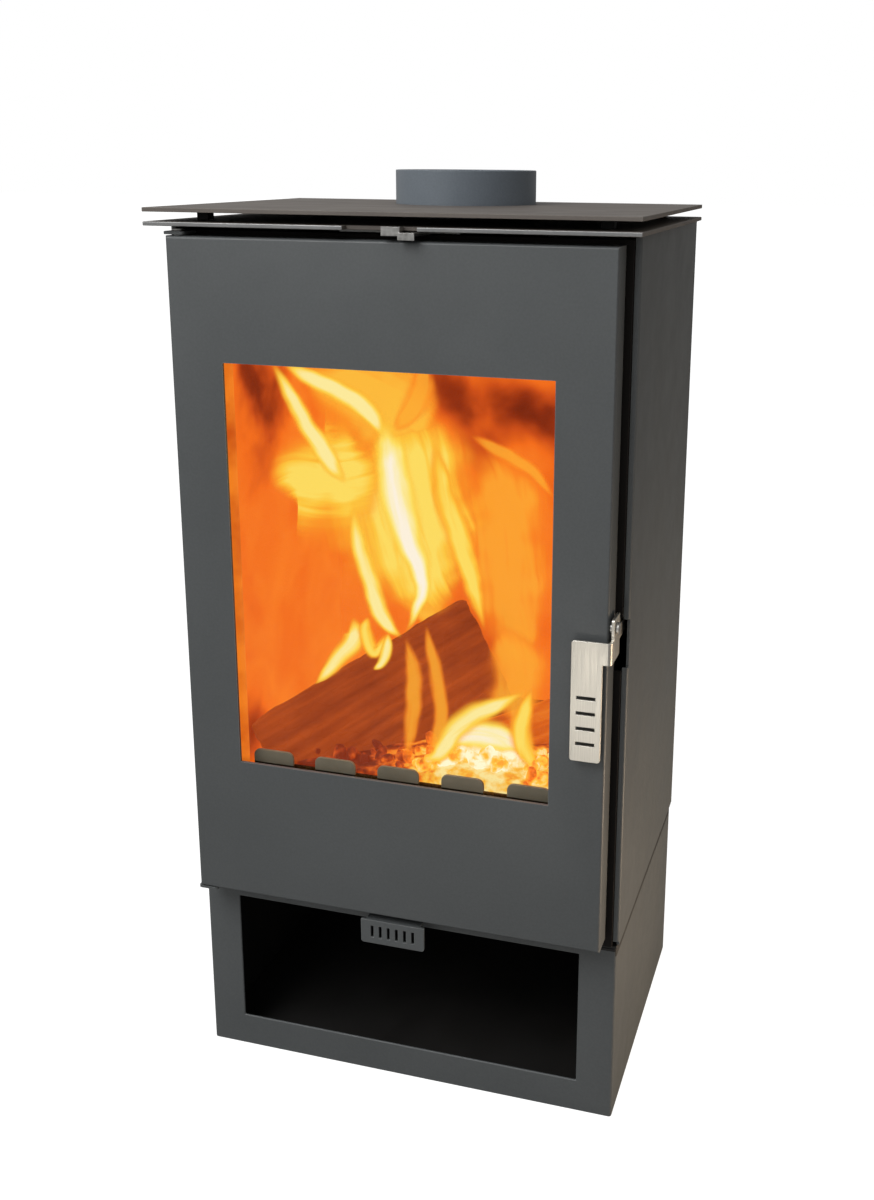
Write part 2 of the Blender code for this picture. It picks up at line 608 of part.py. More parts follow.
def firebox():
    """Walls, back, floor, top and grate shelf, all welded plate."""
    wall_high = CHAMBER_TOP - SEAT
    for name, side in (("firebox_wall_left", -1), ("firebox_wall_right", 1)):
        edges = sorted((side * HALF_CHAMBER, side * HALF_FIREBOX))
        low = (edges[0], CHAMBER_FRONT, BASE_HEIGHT)
        place(name, boxes((low, (edges[1], FIREBOX_BACK, wall_high))), stove, BLACK_STEEL)
    half = HALF_CHAMBER - SEAT
    back = ((-half, CHAMBER_BACK, BASE_HEIGHT), (half, FIREBOX_BACK, wall_high))
    place("firebox_back", boxes(back), stove, BLACK_STEEL)

    rear = CHAMBER_BACK - SEAT
    floor_box = ((-half, CHAMBER_FRONT, FLOOR_LOW), (half, rear, FLOOR_HIGH))
    floor = place("firebox_floor", boxes(floor_box), stove, BLACK_STEEL)
    cut(floor, "cut_floor_port", boxes(primary_port(FLOOR_LOW, FLOOR_HIGH)))

    top_box = ((-HALF_FIREBOX, CHAMBER_FRONT, CHAMBER_TOP), (HALF_FIREBOX, FIREBOX_BACK, FIREBOX_TOP))
    top = place("firebox_top", boxes(top_box), stove, BLACK_STEEL)
    bore = COLLAR_RADIUS - COLLAR_WALL
    reach = ((0, CHAMBER_TOP - SHEET), (bore, CHAMBER_TOP - SHEET))
    reach += ((bore, FIREBOX_TOP + SHEET), (0, FIREBOX_TOP + SHEET))
    cut(top, "cut_flue_outlet", turned(reach, 2, (0, COLLAR_Y, 0), COLLAR_SEGMENTS))
    feed = AIR_VALVE_WIDTH / 2
    feed_front = VALVE_FRONT + SHEET
    feed_back = CHAMBER_FRONT + AIRWASH_DEPTH - FIRE_PLATE - SHEET
    feed_low = (-feed, feed_front, CHAMBER_TOP - SHEET)
    cut(top, "cut_airwash_feed", boxes((feed_low, (feed, feed_back, FIREBOX_TOP + SHEET))))

    shelf_box = ((-half, CHAMBER_FRONT, SHELF_HIGH - FIRE_PLATE), (half, rear, SHELF_HIGH))
    shelf = place("firebox_shelf", boxes(shelf_box), stove, BLACK_STEEL)
    open_x = GRATE_WIDTH / 2 - GRATE_LEDGE
    open_y = GRATE_DEPTH / 2 - GRATE_LEDGE
    pit_low = (-open_x, GRATE_Y - open_y, SHELF_HIGH - FIRE_PLATE - SHEET)
    pit_high = (open_x, GRATE_Y + open_y, SHELF_HIGH + SHEET)
    cut(shelf, "cut_ash_drop", boxes((pit_low, pit_high)))

    drop = CHAMBER_TOP - SEAT
    duct_back = CHAMBER_FRONT + AIRWASH_DEPTH
    lip = drop - AIRWASH_DROP
    section = [
        (duct_back - SHEET, drop),
        (duct_back, drop),
        (duct_back, lip),
        (CHAMBER_FRONT + AIRWASH_SLIT, lip),
        (CHAMBER_FRONT + AIRWASH_SLIT, lip + SHEET),
        (duct_back - SHEET, lip + SHEET),
    ]
    place("airwash_duct", prism(section, 0, -half, half), stove, BLACK_STEEL)


def linings():
    """Vermiculite boards round the fire, the baffle above it and the cast grate below."""
    half = HALF_CHAMBER - SEAT
    face = half - LINER_THICKNESS
    rear = CHAMBER_BACK - SEAT
    back_face = rear - LINER_THICKNESS
    for name, side in (("brick_left", -1), ("brick_right", 1)):
        edges = sorted((side * face, side * half))
        low = (edges[0], CHAMBER_FRONT, LINER_LOW)
        place(name, boxes((low, (edges[1], back_face - SEAT, LINER_HIGH))), stove, VERMICULITE)
    back = ((-half, back_face, LINER_LOW), (half, rear, LINER_HIGH))
    place("brick_back", boxes(back), stove, VERMICULITE)

    base_front = GUARD_FRONT + SHEET + GUARD_SHELF + SEAT
    base_half = face - SEAT
    base_low = (-base_half, base_front, LINER_LOW)
    base_box = (base_low, (base_half, back_face - SEAT, LINER_LOW + LINER_THICKNESS))
    base = place("brick_base", boxes(base_box), stove, VERMICULITE)
    pocket_x = GRATE_WIDTH / 2 + SLIDE_CLEARANCE
    pocket_y = GRATE_DEPTH / 2 + SLIDE_CLEARANCE
    pocket_low = (-pocket_x, GRATE_Y - pocket_y, LINER_LOW - SHEET)
    pocket_high = (pocket_x, GRATE_Y + pocket_y, LINER_LOW + LINER_THICKNESS + SHEET)
    cut(base, "cut_grate_pocket", boxes((pocket_low, pocket_high)))

    board_front = CHAMBER_FRONT + BAFFLE_THROAT
    board_low = (-half, board_front, LINER_HIGH + SEAT)
    board_high = (half, rear, LINER_HIGH + SEAT + LINER_THICKNESS)
    place("baffle_board", boxes((board_low, board_high)), stove, VERMICULITE)
    foot = board_high[2] + SEAT
    crown = foot + BAFFLE_PLATE_RISE
    outer = BAFFLE_PLATE_WIDTH / 2
    inner = outer - THIN_SHEET
    section = [(-outer, foot), (-inner, foot), (-inner, crown - THIN_SHEET), (inner, crown - THIN_SHEET)]
    section += [(inner, foot), (outer, foot), (outer, crown), (-outer, crown)]
    board_middle = (board_front + rear) / 2
    plate_front = board_middle - BAFFLE_PLATE_DEPTH / 2
    plate = prism(section, 1, plate_front, plate_front + BAFFLE_PLATE_DEPTH)
    place("baffle_plate", plate, stove, BLACK_STEEL)

    x = GRATE_WIDTH / 2
    y = GRATE_DEPTH / 2
    grate_low = (-x, GRATE_Y - y, LINER_LOW)
    grate_high = (x, GRATE_Y + y, LINER_LOW + GRATE_THICKNESS)
    grate = place("grate", boxes((grate_low, grate_high)), stove, CAST_IRON)
    pitch = (GRATE_WIDTH - 2 * GRATE_LEDGE) / GRATE_BARS
    reach = y - 2 * GRATE_LEDGE
    slots = []
    for bar in range(GRATE_BARS):
        middle = (bar - (GRATE_BARS - 1) / 2) * pitch
        slot_low = (middle - GRATE_SLOT / 2, GRATE_Y - reach, grate_low[2] - SHEET)
        slots.append((slot_low, (middle + GRATE_SLOT / 2, GRATE_Y + reach, grate_high[2] + SHEET)))
    cut(grate, "cut_grate_slots", boxes(*slots))


def log_guard():
    """A castellated plate that keeps logs off the glass, on a shelf that lies in the fire opening."""
    low = FIRE_OPENING_LOW + SEAT
    notch = low + GUARD_BAND
    crest = notch + GUARD_TAB_HEIGHT
    half = ((GUARD_TABS - 1) * GUARD_TAB_PITCH + GUARD_TAB_WIDTH) / 2
    corners = [(-half, low, 0), (half, low, 0)]
    for tab in reversed(range(GUARD_TABS)):
        middle = (tab - (GUARD_TABS - 1) / 2) * GUARD_TAB_PITCH
        right = middle + GUARD_TAB_WIDTH / 2
        left = middle - GUARD_TAB_WIDTH / 2
        if tab < GUARD_TABS - 1:
            corners.append((right, notch, 0))
        corners.append((right, crest, GUARD_TAB_ROUND))
        corners.append((left, crest, GUARD_TAB_ROUND))
        if tab:
            corners.append((left, notch, 0))
    upright = prism(rounded(corners), 1, GUARD_FRONT, GUARD_FRONT + SHEET)
    guard = place("log_guard", upright, stove, DARK_PAINT)
    shelf_low = (-half, GUARD_FRONT, low)
    weld(guard, "guard_shelf", boxes((shelf_low, (half, GUARD_FRONT + SHEET + GUARD_SHELF, low + SHEET))))


def ash_pan():
    """An open pan on the firebox floor, with a lip to pull it by."""
    half = ASH_OPENING_WIDTH / 2 - ASH_PAN_CLEARANCE
    front = CHAMBER_FRONT
    low = FLOOR_HIGH + SEAT
    high = FLOOR_HIGH + ASH_OPENING_HEIGHT - ASH_PAN_CLEARANCE
    back = PORT_FRONT - ASH_PAN_REAR_GAP
    pan = place("ash_pan", boxes(((-half, front, low), (half, back, high))), stove, BLACK_STEEL)
    wall = THIN_SHEET
    hollow_low = (wall - half, front + wall, low + wall)
    cut(pan, "cut_pan_hollow", boxes((hollow_low, (half - wall, back - wall, high + SHEET))))
    lip_half = LEVER_TAB_WIDTH / 2
    lip = ((-lip_half, front - ASH_PAN_LIP, high - wall), (lip_half, front + wall, high))
    weld(pan, "pan_lip", boxes(lip))


# ---------------------------------------------------------------- air controls


def valve_slots(middle_x, low, high):
    """The slots of the upper air valve, through a sheet from low to high."""
    front = (VALVE_FRONT + VALVE_BACK - VALVE_SLOT_LENGTH) / 2
    slots = []
    for number in range(VALVE_SLOTS):
        x = middle_x + (number - (VALVE_SLOTS - 1) / 2) * VALVE_SLOT_PITCH
        slot_low = (x - VALVE_SLOT_WIDTH / 2, front, low - SHEET)
        slots.append((slot_low, (x + VALVE_SLOT_WIDTH / 2, front + VALVE_SLOT_LENGTH, high + SHEET)))
    return boxes(*slots)


def secondary_air():
    """The upper valve: a slotted lid on the firebox and a slide with its grip in the plate's notch."""
    margin = 2 * SHEET
    half = AIR_VALVE_WIDTH / 2 + AIR_TRAVEL + margin
    low = FIREBOX_TOP + SEAT
    high = SLIDE_LOW - SEAT
    front = VALVE_FRONT - margin
    back = VALVE_BACK + margin
    lid = place("air_valve_lid", boxes(((-half, front, low), (half, back, high))), stove, BLACK_STEEL)
    hollow = ((SHEET - half, front + SHEET, low - SHEET), (half - SHEET, back - SHEET, high - SHEET))
    cut(lid, "cut_lid_hollow", boxes(hollow))
    cut(lid, "cut_lid_slots", valve_slots(-AIR_TRAVEL / 2, low, high))

    right = AIR_NOTCH_WIDTH / 2 - AIR_GRIP_CLEARANCE
    left = right - AIR_GRIP_WIDTH
    pad_right = left + AIR_GRIP_PAD
    valve = AIR_VALVE_WIDTH / 2
    grip_front = -TOP_OVERHANG_FRONT - AIR_GRIP_CLEARANCE
    plan = [(left, grip_front), (right, grip_front), (right, VALVE_FRONT), (valve, VALVE_FRONT)]
    plan += [(valve, VALVE_BACK), (-valve, VALVE_BACK), (-valve, VALVE_FRONT), (left, VALVE_FRONT)]
    sheet = prism(plan, 2, SLIDE_LOW, SLIDE_HIGH)
    slide = place("secondary_air_slide", sheet, upper_slide, ZINC)
    pad_back = AIR_NOTCH_DEPTH - TOP_OVERHANG_FRONT - AIR_GRIP_CLEARANCE
    pad_low = (left, grip_front, SLIDE_LOW)
    weld(slide, "grip_pad", boxes((pad_low, (pad_right, pad_back, LOWER_PLATE_HIGH))))
    tab_low = (pad_right - AIR_GRIP_CLEARANCE, grip_front - SLIDE_THICKNESS, SLIDE_LOW - AIR_TAB_DROP)
    tab_high = (right, grip_front + SEAT, SLIDE_HIGH)
    weld(slide, "grip_tab", boxes((tab_low, tab_high)))
    cut(slide, "cut_slide_slots", valve_slots(AIR_TRAVEL / 2, SLIDE_LOW, SLIDE_HIGH))


def primary_air():
    """The lower valve: a long slide whose end covers the port, pulled by a slotted tab."""
    half = LEVER_WIDTH / 2
    front = LEVER_TAB_SETBACK
    strip = boxes(((-half, front, BASE_HEIGHT), (half, PORT_BACK + LEVER_LAP, LEVER_HIGH)))
    slide = place("primary_air_slide", strip, lower_slide, DARK_PAINT)
    tab_half = LEVER_TAB_WIDTH / 2
    corners = [
        (-tab_half, LEVER_HIGH - LEVER_TAB_DROP, HANDLE_ROUND),
        (tab_half, LEVER_HIGH - LEVER_TAB_DROP, HANDLE_ROUND),
        (tab_half, LEVER_HIGH, 0),
        (-tab_half, LEVER_HIGH, 0),
    ]
    weld(slide, "lever_tab", prism(rounded(corners), 1, front, front + SLIDE_THICKNESS))
    slots = []
    for number in range(LEVER_SLOTS):
        x = (number - (LEVER_SLOTS - 1) / 2) * LEVER_SLOT_PITCH
        low = (x - LEVER_SLOT_WIDTH / 2, front - SHEET, LEVER_HIGH - LEVER_TAB_DROP + LEVER_SLOT_MARGIN)
        high = (x + LEVER_SLOT_WIDTH / 2, front + 2 * SHEET, BASE_HEIGHT - LEVER_SLOT_MARGIN / 2)
        slots.append((low, high))
    cut(slide, "cut_tab_slots", boxes(*slots))
    for name, side in (("lever_guide_left", -1), ("lever_guide_right", 1)):
        inner = half + SLIDE_CLEARANCE
        edges = sorted((side * inner, side * (inner + GUIDE_WIDTH)))
        guide_front = CHAMBER_FRONT + GUIDE_INSET
        low = (edges[0], guide_front, BASE_HEIGHT)
        high = (edges[1], guide_front + GUIDE_LENGTH, LEVER_HIGH + SLIDE_CLEARANCE)
        place(name, boxes((low, high)), stove, BLACK_STEEL)


# ---------------------------------------------------------------- door


def door_panel():
    """A front sheet folded back on all four sides, with the window and the pivot and pin holes."""
    skin = boxes(((-HALF_DOOR, 0, DOOR_LOW), (HALF_DOOR, DOOR_DEPTH, DOOR_HIGH)))
    front_edges = [e for e in skin.edges if all(abs(v.co.y) < SEAT for v in e.verts)]
    bmesh.ops.bevel(
        skin,
        geom=front_edges,
        offset=FOLD_RADIUS,
        segments=ROUND_STEPS - 1,
        profile=0.5,
        affect="EDGES",
    )
    panel = place("door_panel", skin, door_axis, DARK_PAINT)
    smooth(panel)
    tray_low = (SHEET - HALF_DOOR, SHEET, DOOR_LOW + SHEET)
    cut(panel, "cut_door_tray", boxes((tray_low, (HALF_DOOR - SHEET, DOOR_DEPTH + SHEET, DOOR_HIGH - SHEET))))
    window = ((-HALF_WINDOW, -SHEET, WINDOW_LOW), (HALF_WINDOW, 2 * SHEET, WINDOW_HIGH))
    cut(panel, "cut_window", boxes(window))
    radius = HINGE_PIN_RADIUS + PIN_CLEARANCE
    for name, level in (("cut_pin_hole_top", DOOR_HIGH), ("cut_pin_hole_bottom", DOOR_LOW)):
        reach = ((0, level - 2 * SHEET), (radius, level - 2 * SHEET))
        reach += ((radius, level + 2 * SHEET), (0, level + 2 * SHEET))
        cut(panel, name, turned(reach, 2, HINGE_AXIS, PIN_SEGMENTS))
    bolt = PIVOT_RADIUS + PIN_CLEARANCE
    ends = (HALF_DOOR - 2 * SHEET, HALF_DOOR + SHEET)
    reach = ((0, ends[0]), (bolt, ends[0]), (bolt, ends[1]), (0, ends[1]))
    cut(panel, "cut_pivot_hole", turned(reach, 0, PIVOT_AXIS, PIN_SEGMENTS))


def window_ring(name, outer_lap, inner_lap, y_low, y_high, look):
    """A flat ring round the window: how far it laps the door's sheet outside and inside."""
    outer_low = (-HALF_WINDOW - outer_lap, y_low, WINDOW_LOW - outer_lap)
    outer_high = (HALF_WINDOW + outer_lap, y_high, WINDOW_HIGH + outer_lap)
    ring = place(name, boxes((outer_low, outer_high)), door_axis, look)
    inner_low = (-HALF_WINDOW - inner_lap, y_low - SHEET, WINDOW_LOW - inner_lap)
    inner_high = (HALF_WINDOW + inner_lap, y_high + SHEET, WINDOW_HIGH + inner_lap)
    cut(ring, f"cut_{name}", boxes((inner_low, inner_high)))
    return ring


def glazing():
    """Gasket, ceramic glass, its retaining frame and the six screws that hold the frame."""
    gasket_front = SHEET + SEAT
    gasket_back = gasket_front + GASKET_THICKNESS
    window_ring("glass_gasket", GLASS_LAP - SEAT, GASKET_INSET, gasket_front, gasket_back, ROPE)
    glass_front = gasket_back + SEAT
    glass_back = glass_front + GLASS_THICKNESS
    glass_low = (-HALF_WINDOW - GLASS_LAP, glass_front, WINDOW_LOW - GLASS_LAP)
    glass_high = (HALF_WINDOW + GLASS_LAP, glass_back, WINDOW_HIGH + GLASS_LAP)
    place("door_glass", boxes((glass_low, glass_high)), door_axis, GLASS)
    frame_front = glass_back + SEAT
    frame_back = frame_front + THIN_SHEET
    laps = (RETAINER_OUTER_LAP, RETAINER_INNER_LAP)
    retainer = window_ring("glass_retainer", *laps, frame_front, frame_back, BLACK_STEEL)

    levels = (WINDOW_LOW + SCREW_MARGIN, (WINDOW_LOW + WINDOW_HIGH) / 2, WINDOW_HIGH - SCREW_MARGIN)
    number = 0
    for side in (-1, 1):
        for level in levels:
            number += 1
            centre = (side * (HALF_WINDOW + RETAINER_SCREW_LAP), 0, level)
            hole = SCREW_RADIUS + PIN_CLEARANCE
            reach = ((0, frame_front - SHEET), (hole, frame_front - SHEET))
            reach += ((hole, frame_back + SHEET), (0, frame_back + SHEET))
            cut(retainer, f"cut_screw_hole_{number}", turned(reach, 1, centre, SCREW_SEGMENTS))
            under = frame_back + SEAT
            crown = under + SCREW_HEAD_HEIGHT
            profile = [
                (0, gasket_front),
                (SCREW_RADIUS, gasket_front),
                (SCREW_RADIUS, under),
                (SCREW_HEAD_RADIUS, under),
                (SCREW_HEAD_RADIUS, crown - SCREW_HEAD_HEIGHT / 3),
                (SCREW_HEAD_RADIUS * 0.8, crown),
                (0, crown),
            ]
            screw = turned(profile, 1, centre, SCREW_SEGMENTS)
            smooth(place(f"retainer_screw_{number}", screw, door_axis, ZINC))


def door_seal():
    """The door's inner liner, and the rope on it that closes against the firebox front."""
    fit = SHEET + SEAT
    low = (fit - HALF_DOOR, DOOR_LINER_FRONT, DOOR_LOW + fit)
    high = (HALF_DOOR - fit, DOOR_LINER_FRONT + THIN_SHEET, DOOR_HIGH - fit)
    liner = place("door_liner", boxes((low, high)), door_axis, BLACK_STEEL)
    lap = RETAINER_OUTER_LAP + THIN_SHEET
    hole_low = (-HALF_WINDOW - lap, DOOR_LINER_FRONT - SHEET, WINDOW_LOW - lap)
    hole_high = (HALF_WINDOW + lap, high[1] + SHEET, WINDOW_HIGH + lap)
    cut(liner, "cut_liner_window", boxes((hole_low, hole_high)))

    half = HALF_DOOR - ROPE_INSET
    y = high[1] + SEAT + ROPE_RADIUS
    levels = (DOOR_LOW + ROPE_INSET - ROPE_RADIUS, DOOR_HIGH - ROPE_INSET + ROPE_RADIUS)
    route = rectangle(-half, half, *levels, ROPE_CORNER)
    curve = bpy.data.curves.new("door_rope_seal", "CURVE")
    curve.dimensions = "3D"
    curve.bevel_depth = ROPE_RADIUS
    curve.bevel_resolution = 2
    spline = curve.splines.new("POLY")
    spline.points.add(len(route) - 1)
    spline.use_cyclic_u = True
    origin = PLACES[door_axis.name]
    for point, (x, z) in zip(spline.points, route):
        point.co = (x - origin.x, y - origin.y, z - origin.z, 1)
    curve.materials.append(ROPE)
    seal = bpy.data.objects.new("door_rope_seal", curve)
    seal.parent = door_axis
    bpy.context.collection.objects.link(seal)


def hinges():
    """Brackets on the firebox front, above and below the door, and the pins the door turns on."""
    half = BRACKET_WIDTH / 2
    front = HINGE_SETBACK - BRACKET_OVERHANG
    hole = HINGE_PIN_RADIUS + PIN_CLEARANCE
    above = DOOR_HIGH + BRACKET_GAP
    below = DOOR_LOW - BRACKET_GAP
    for end, low, high in (("top", above, above + SHEET), ("bottom", below - SHEET, below)):
        corners = rectangle(HINGE_AXIS.x - half, HINGE_AXIS.x + half, front, FRONT_PLANE - SEAT, HANDLE_ROUND)
        bracket = place(f"hinge_bracket_{end}", prism(corners, 2, low, high), stove, DARK_PAINT)
        reach = ((0, low - SHEET), (hole, low - SHEET), (hole, high + SHEET), (0, high + SHEET))
        cut(bracket, f"cut_bracket_{end}", turned(reach, 2, HINGE_AXIS, PIN_SEGMENTS))
    head = HINGE_PIN_RADIUS + THIN_SHEET
    pins = (("top", DOOR_HIGH, above + SHEET, 1), ("bottom", DOOR_LOW, below - SHEET, -1))
    for end, door_edge, bracket_face, out in pins:
        inner_end = door_edge - out * HINGE_PIN_REACH
        shoulder = bracket_face + out * SEAT
        outer_end = shoulder + out * THIN_SHEET
        profile = [
            (0, inner_end),
            (HINGE_PIN_RADIUS, inner_end),
            (HINGE_PIN_RADIUS, shoulder),
            (head, shoulder),
            (head, outer_end),
            (0, outer_end),
        ]
        smooth(place(f"hinge_pin_{end}", turned(profile, 2, HINGE_AXIS, PIN_SEGMENTS), stove, ZINC))


# ---------------------------------------------------------------- handle and latch


def door_handle():
    """A bent plate: the grip on the door's face, a neck round its edge and a leg with the finger."""
    right = HALF_DOOR - HANDLE_EDGE_INSET
    left = right - HANDLE_WIDTH
    low = HANDLE_HIGH - HANDLE_LENGTH
    neck_low = HANDLE_HIGH - HANDLE_NECK
    grip_back = -HANDLE_STANDOFF
    grip = rectangle(left, right, low, HANDLE_HIGH, HANDLE_ROUND)
    handle = place("door_handle", prism(grip, 1, HANDLE_FRONT, grip_back), handle_axis, STAINLESS)

    start = right - HANDLE_WIDTH / 2
    inner_bend = HANDLE_BEND - HANDLE_THICKNESS
    plan = [
        (start, HANDLE_FRONT, 0),
        (LEG_OUTER, HANDLE_FRONT, HANDLE_BEND),
        (LEG_OUTER, PIVOT_SETBACK, 0),
        (LEG_INNER, PIVOT_SETBACK, 0),
        (LEG_INNER, grip_back, inner_bend),
        (start, grip_back, 0),
    ]
    weld(handle, "handle_neck", prism(rounded(plan), 2, neck_low, HANDLE_HIGH))
    leg_back = PIVOT_SETBACK + LEG_DEPTH
    finger_low = FINGER_HIGH - FINGER_HEIGHT
    leg_high = HANDLE_HIGH + LEG_RISE
    side = [
        (grip_back + HANDLE_BEND, neck_low, 0),
        (leg_back, neck_low, HANDLE_ROUND),
        (leg_back, finger_low, 0),
        (FINGER_END, finger_low, HANDLE_ROUND),
        (FINGER_END, FINGER_HIGH, HANDLE_ROUND),
        (leg_back, FINGER_HIGH, 0),
        (leg_back, leg_high, HANDLE_ROUND),
        (0, leg_high, HANDLE_ROUND),
        (0, HANDLE_HIGH, 0),
        (grip_back + HANDLE_BEND, HANDLE_HIGH, 0),
    ]
    weld(handle, "handle_leg", prism(rounded(side), 0, LEG_INNER, LEG_OUTER))
    slots = []
    middle = (left + right) / 2
    for number in range(HANDLE_SLOTS):
        z = low + HANDLE_SLOT_MARGIN + number * HANDLE_SLOT_PITCH
        slot_low = (middle - HANDLE_SLOT_WIDTH / 2, HANDLE_FRONT - SHEET, z - HANDLE_SLOT_HEIGHT / 2)
        slot_high = (middle + HANDLE_SLOT_WIDTH / 2, grip_back + SHEET, z + HANDLE_SLOT_HEIGHT / 2)
        slots.append((slot_low, slot_high))
    cut(handle, "cut_handle_slots", boxes(*slots))
    hole = PIVOT_RADIUS + PIN_CLEARANCE
    ends = (LEG_INNER - SHEET, LEG_OUTER + SHEET)
    reach = ((0, ends[0]), (hole, ends[0]), (hole, ends[1]), (0, ends[1]))
    cut(handle, "cut_handle_pivot", turned(reach, 0, PIVOT_AXIS, PIN_SEGMENTS))


def latch():
    """The shouldered pivot bolt on the door, and the keeper pin above the finger in the body."""
    nut_end = HALF_DOOR - SHEET - SEAT
    collar_start = HALF_DOOR + SEAT
    collar_end = LEG_INNER - SEAT
    head_start = LEG_OUTER + SEAT
    profile = [
        (0, nut_end - PIVOT_NUT),
        (PIVOT_HEAD_RADIUS, nut_end - PIVOT_NUT),
        (PIVOT_HEAD_RADIUS, nut_end),
        (PIVOT_RADIUS, nut_end),
        (PIVOT_RADIUS, collar_start),
        (PIVOT_HEAD_RADIUS, collar_start),
        (PIVOT_HEAD_RADIUS, collar_end),
        (PIVOT_RADIUS, collar_end),
        (PIVOT_RADIUS, head_start),
        (PIVOT_HEAD_RADIUS, head_start),
        (PIVOT_HEAD_RADIUS, head_start + PIVOT_HEAD),
        (0, head_start + PIVOT_HEAD),
    ]
    smooth(place("latch_pivot_bolt", turned(profile, 0, PIVOT_AXIS, PIN_SEGMENTS), door_axis, ZINC))
    centre = (0, FINGER_END - KEEPER_INSET, FINGER_HIGH + KEEPER_GAP + KEEPER_RADIUS)
    ends = (HALF_FIREBOX + SEAT, HALF_PANEL - SEAT)
    profile = [(0, ends[0]), (KEEPER_RADIUS, ends[0]), (KEEPER_RADIUS, ends[1]), (0, ends[1])]
    smooth(place("latch_keeper", turned(profile, 0, centre, PIN_SEGMENTS), stove, ZINC))


log_store()
body_panels()
top_plates()
firebox_front()
firebox()
linings()
log_guard()
ash_pan()
secondary_air()
primary_air()
door_panel()
glazing()
door_seal()
hinges()
door_handle()
latch()
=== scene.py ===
import math
import random

import bpy
from mathutils import Matrix, Vector, noise


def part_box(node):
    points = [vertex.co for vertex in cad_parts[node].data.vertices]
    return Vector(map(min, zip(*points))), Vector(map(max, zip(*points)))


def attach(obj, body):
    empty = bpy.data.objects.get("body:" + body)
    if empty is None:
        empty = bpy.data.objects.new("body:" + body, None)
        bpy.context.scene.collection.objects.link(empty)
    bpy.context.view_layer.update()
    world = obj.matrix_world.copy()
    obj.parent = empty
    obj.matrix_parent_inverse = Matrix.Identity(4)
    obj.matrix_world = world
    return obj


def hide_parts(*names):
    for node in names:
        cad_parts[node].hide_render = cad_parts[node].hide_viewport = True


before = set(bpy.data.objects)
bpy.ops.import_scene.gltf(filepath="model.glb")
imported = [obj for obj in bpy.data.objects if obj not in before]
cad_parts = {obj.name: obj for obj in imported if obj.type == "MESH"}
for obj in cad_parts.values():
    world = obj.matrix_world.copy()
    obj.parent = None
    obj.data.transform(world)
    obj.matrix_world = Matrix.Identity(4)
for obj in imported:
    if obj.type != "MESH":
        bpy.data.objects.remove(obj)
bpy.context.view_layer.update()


# Log store. The open base is one sheet of 3 mm steel folded to a U with a front frame, with a back, a
# floor on a foot flange and a top sheet welded in. Outside it has the stove's satin grey paint, baked
# on over a fine grain; inside it is matt black.
def hex_colour(text):
    """The linear colour of an sRGB hex value."""
    parts = [int(text[i : i + 2], 16) / 255 for i in (0, 2, 4)]
    return (*(p / 12.92 if p <= 0.04045 else ((p + 0.055) / 1.055) ** 2.4 for p in parts), 1)


def add(look, kind, inputs=None, stops=None, **settings):
    """Add a node to a material, with its settings, its inputs (values or links) and its ramp's stops."""
    made = look.node_tree.nodes.new("ShaderNode" + kind)
    for name, value in settings.items():
        setattr(made, name, value)
    for name, value in (inputs or {}).items():
        if isinstance(value, bpy.types.NodeSocket):
            look.node_tree.links.new(value, made.inputs[name])
        else:
            made.inputs[name].default_value = value
    for number, (position, shade) in enumerate(stops or ()):
        points = made.color_ramp.elements
        point = points[number] if number < len(points) else points.new(position)
        point.position = position
        point.color = hex_colour(shade) if isinstance(shade, str) else (shade, shade, shade, 1)
    return made


def new_look(name):
    """An empty material and the coordinates that its patterns read."""
    look = bpy.data.materials.new(name)
    look.use_nodes = True
    look.node_tree.nodes.clear()
    return look, add(look, "TexCoord")


def show(look, shader):
    """Make a shader the material's surface."""
    add(look, "OutputMaterial", {"Surface": shader.outputs[0]})
    return look


def stove_paint(name, shades, worn_and_highlight, roughness, grain_mm, grain_depth_mm, metallic=0.0):
    """High-temperature paint: cloudy between two shades, grainy, and lighter along the edges, partly from
    rubbed wear and partly as a painted highlight.
    """
    look, where = new_look(name)
    cloud = add(look, "TexNoise", {"Vector": where.outputs["Object"], "Scale": 7.0, "Detail": 4.0})
    clouded = add(look, "ValToRGB", {0: cloud.outputs[0]}, [(0.32, shades[0]), (0.68, shades[1])])
    speck = add(
        look, "TexNoise", {"Vector": where.outputs["Object"], "Scale": 1000 / grain_mm, "Detail": 2.0}
    )
    speckle = add(look, "ValToRGB", {0: speck.outputs[0]}, [(0.3, 0.90), (0.7, 1.0)])
    grainy = add(
        look,
        "Mix",
        {0: 1.0, 6: clouded.outputs[0], 7: speckle.outputs[0]},
        data_type="RGBA",
        blend_type="MULTIPLY",
    )
    # Edges are mixed towards the lighter shade: partly rubbed wear, partly a painted highlight along the
    # folds.
    edge = add(look, "Bevel", {"Radius": 0.0016}, samples=6)
    true = add(look, "NewGeometry")
    lean = add(look, "VectorMath", {0: edge.outputs[0], 1: true.outputs["Normal"]}, operation="DOT_PRODUCT")
    edge_wear_and_highlight = add(look, "MapRange", {0: lean.outputs["Value"], 1: 0.98, 2: 0.80, 3: 0.0, 4: 0.55})
    colour = add(
        look,
        "Mix",
        {0: edge_wear_and_highlight.outputs[0], 6: grainy.outputs[2], 7: hex_colour(worn_and_highlight)},
        data_type="RGBA",
    )
    patchy = add(look, "TexNoise", {"Vector": where.outputs["Object"], "Scale": 24.0, "Detail": 3.0})
    gloss = add(
        look, "MapRange", {0: patchy.outputs[0], 1: 0.3, 2: 0.7, 3: roughness - 0.05, 4: roughness + 0.06}
    )
    bump = add(
        look, "Bump", {"Strength": 0.35, "Distance": grain_depth_mm / 1000, "Height": speck.outputs[0]}
    )
    shader = add(
        look,
        "BsdfPrincipled",
        {
            "Base Color": colour.outputs[2],
            "Roughness": gloss.outputs[0],
            "Metallic": metallic,
            "Normal": bump.outputs[0],
        },
    )
    return show(look, shader)


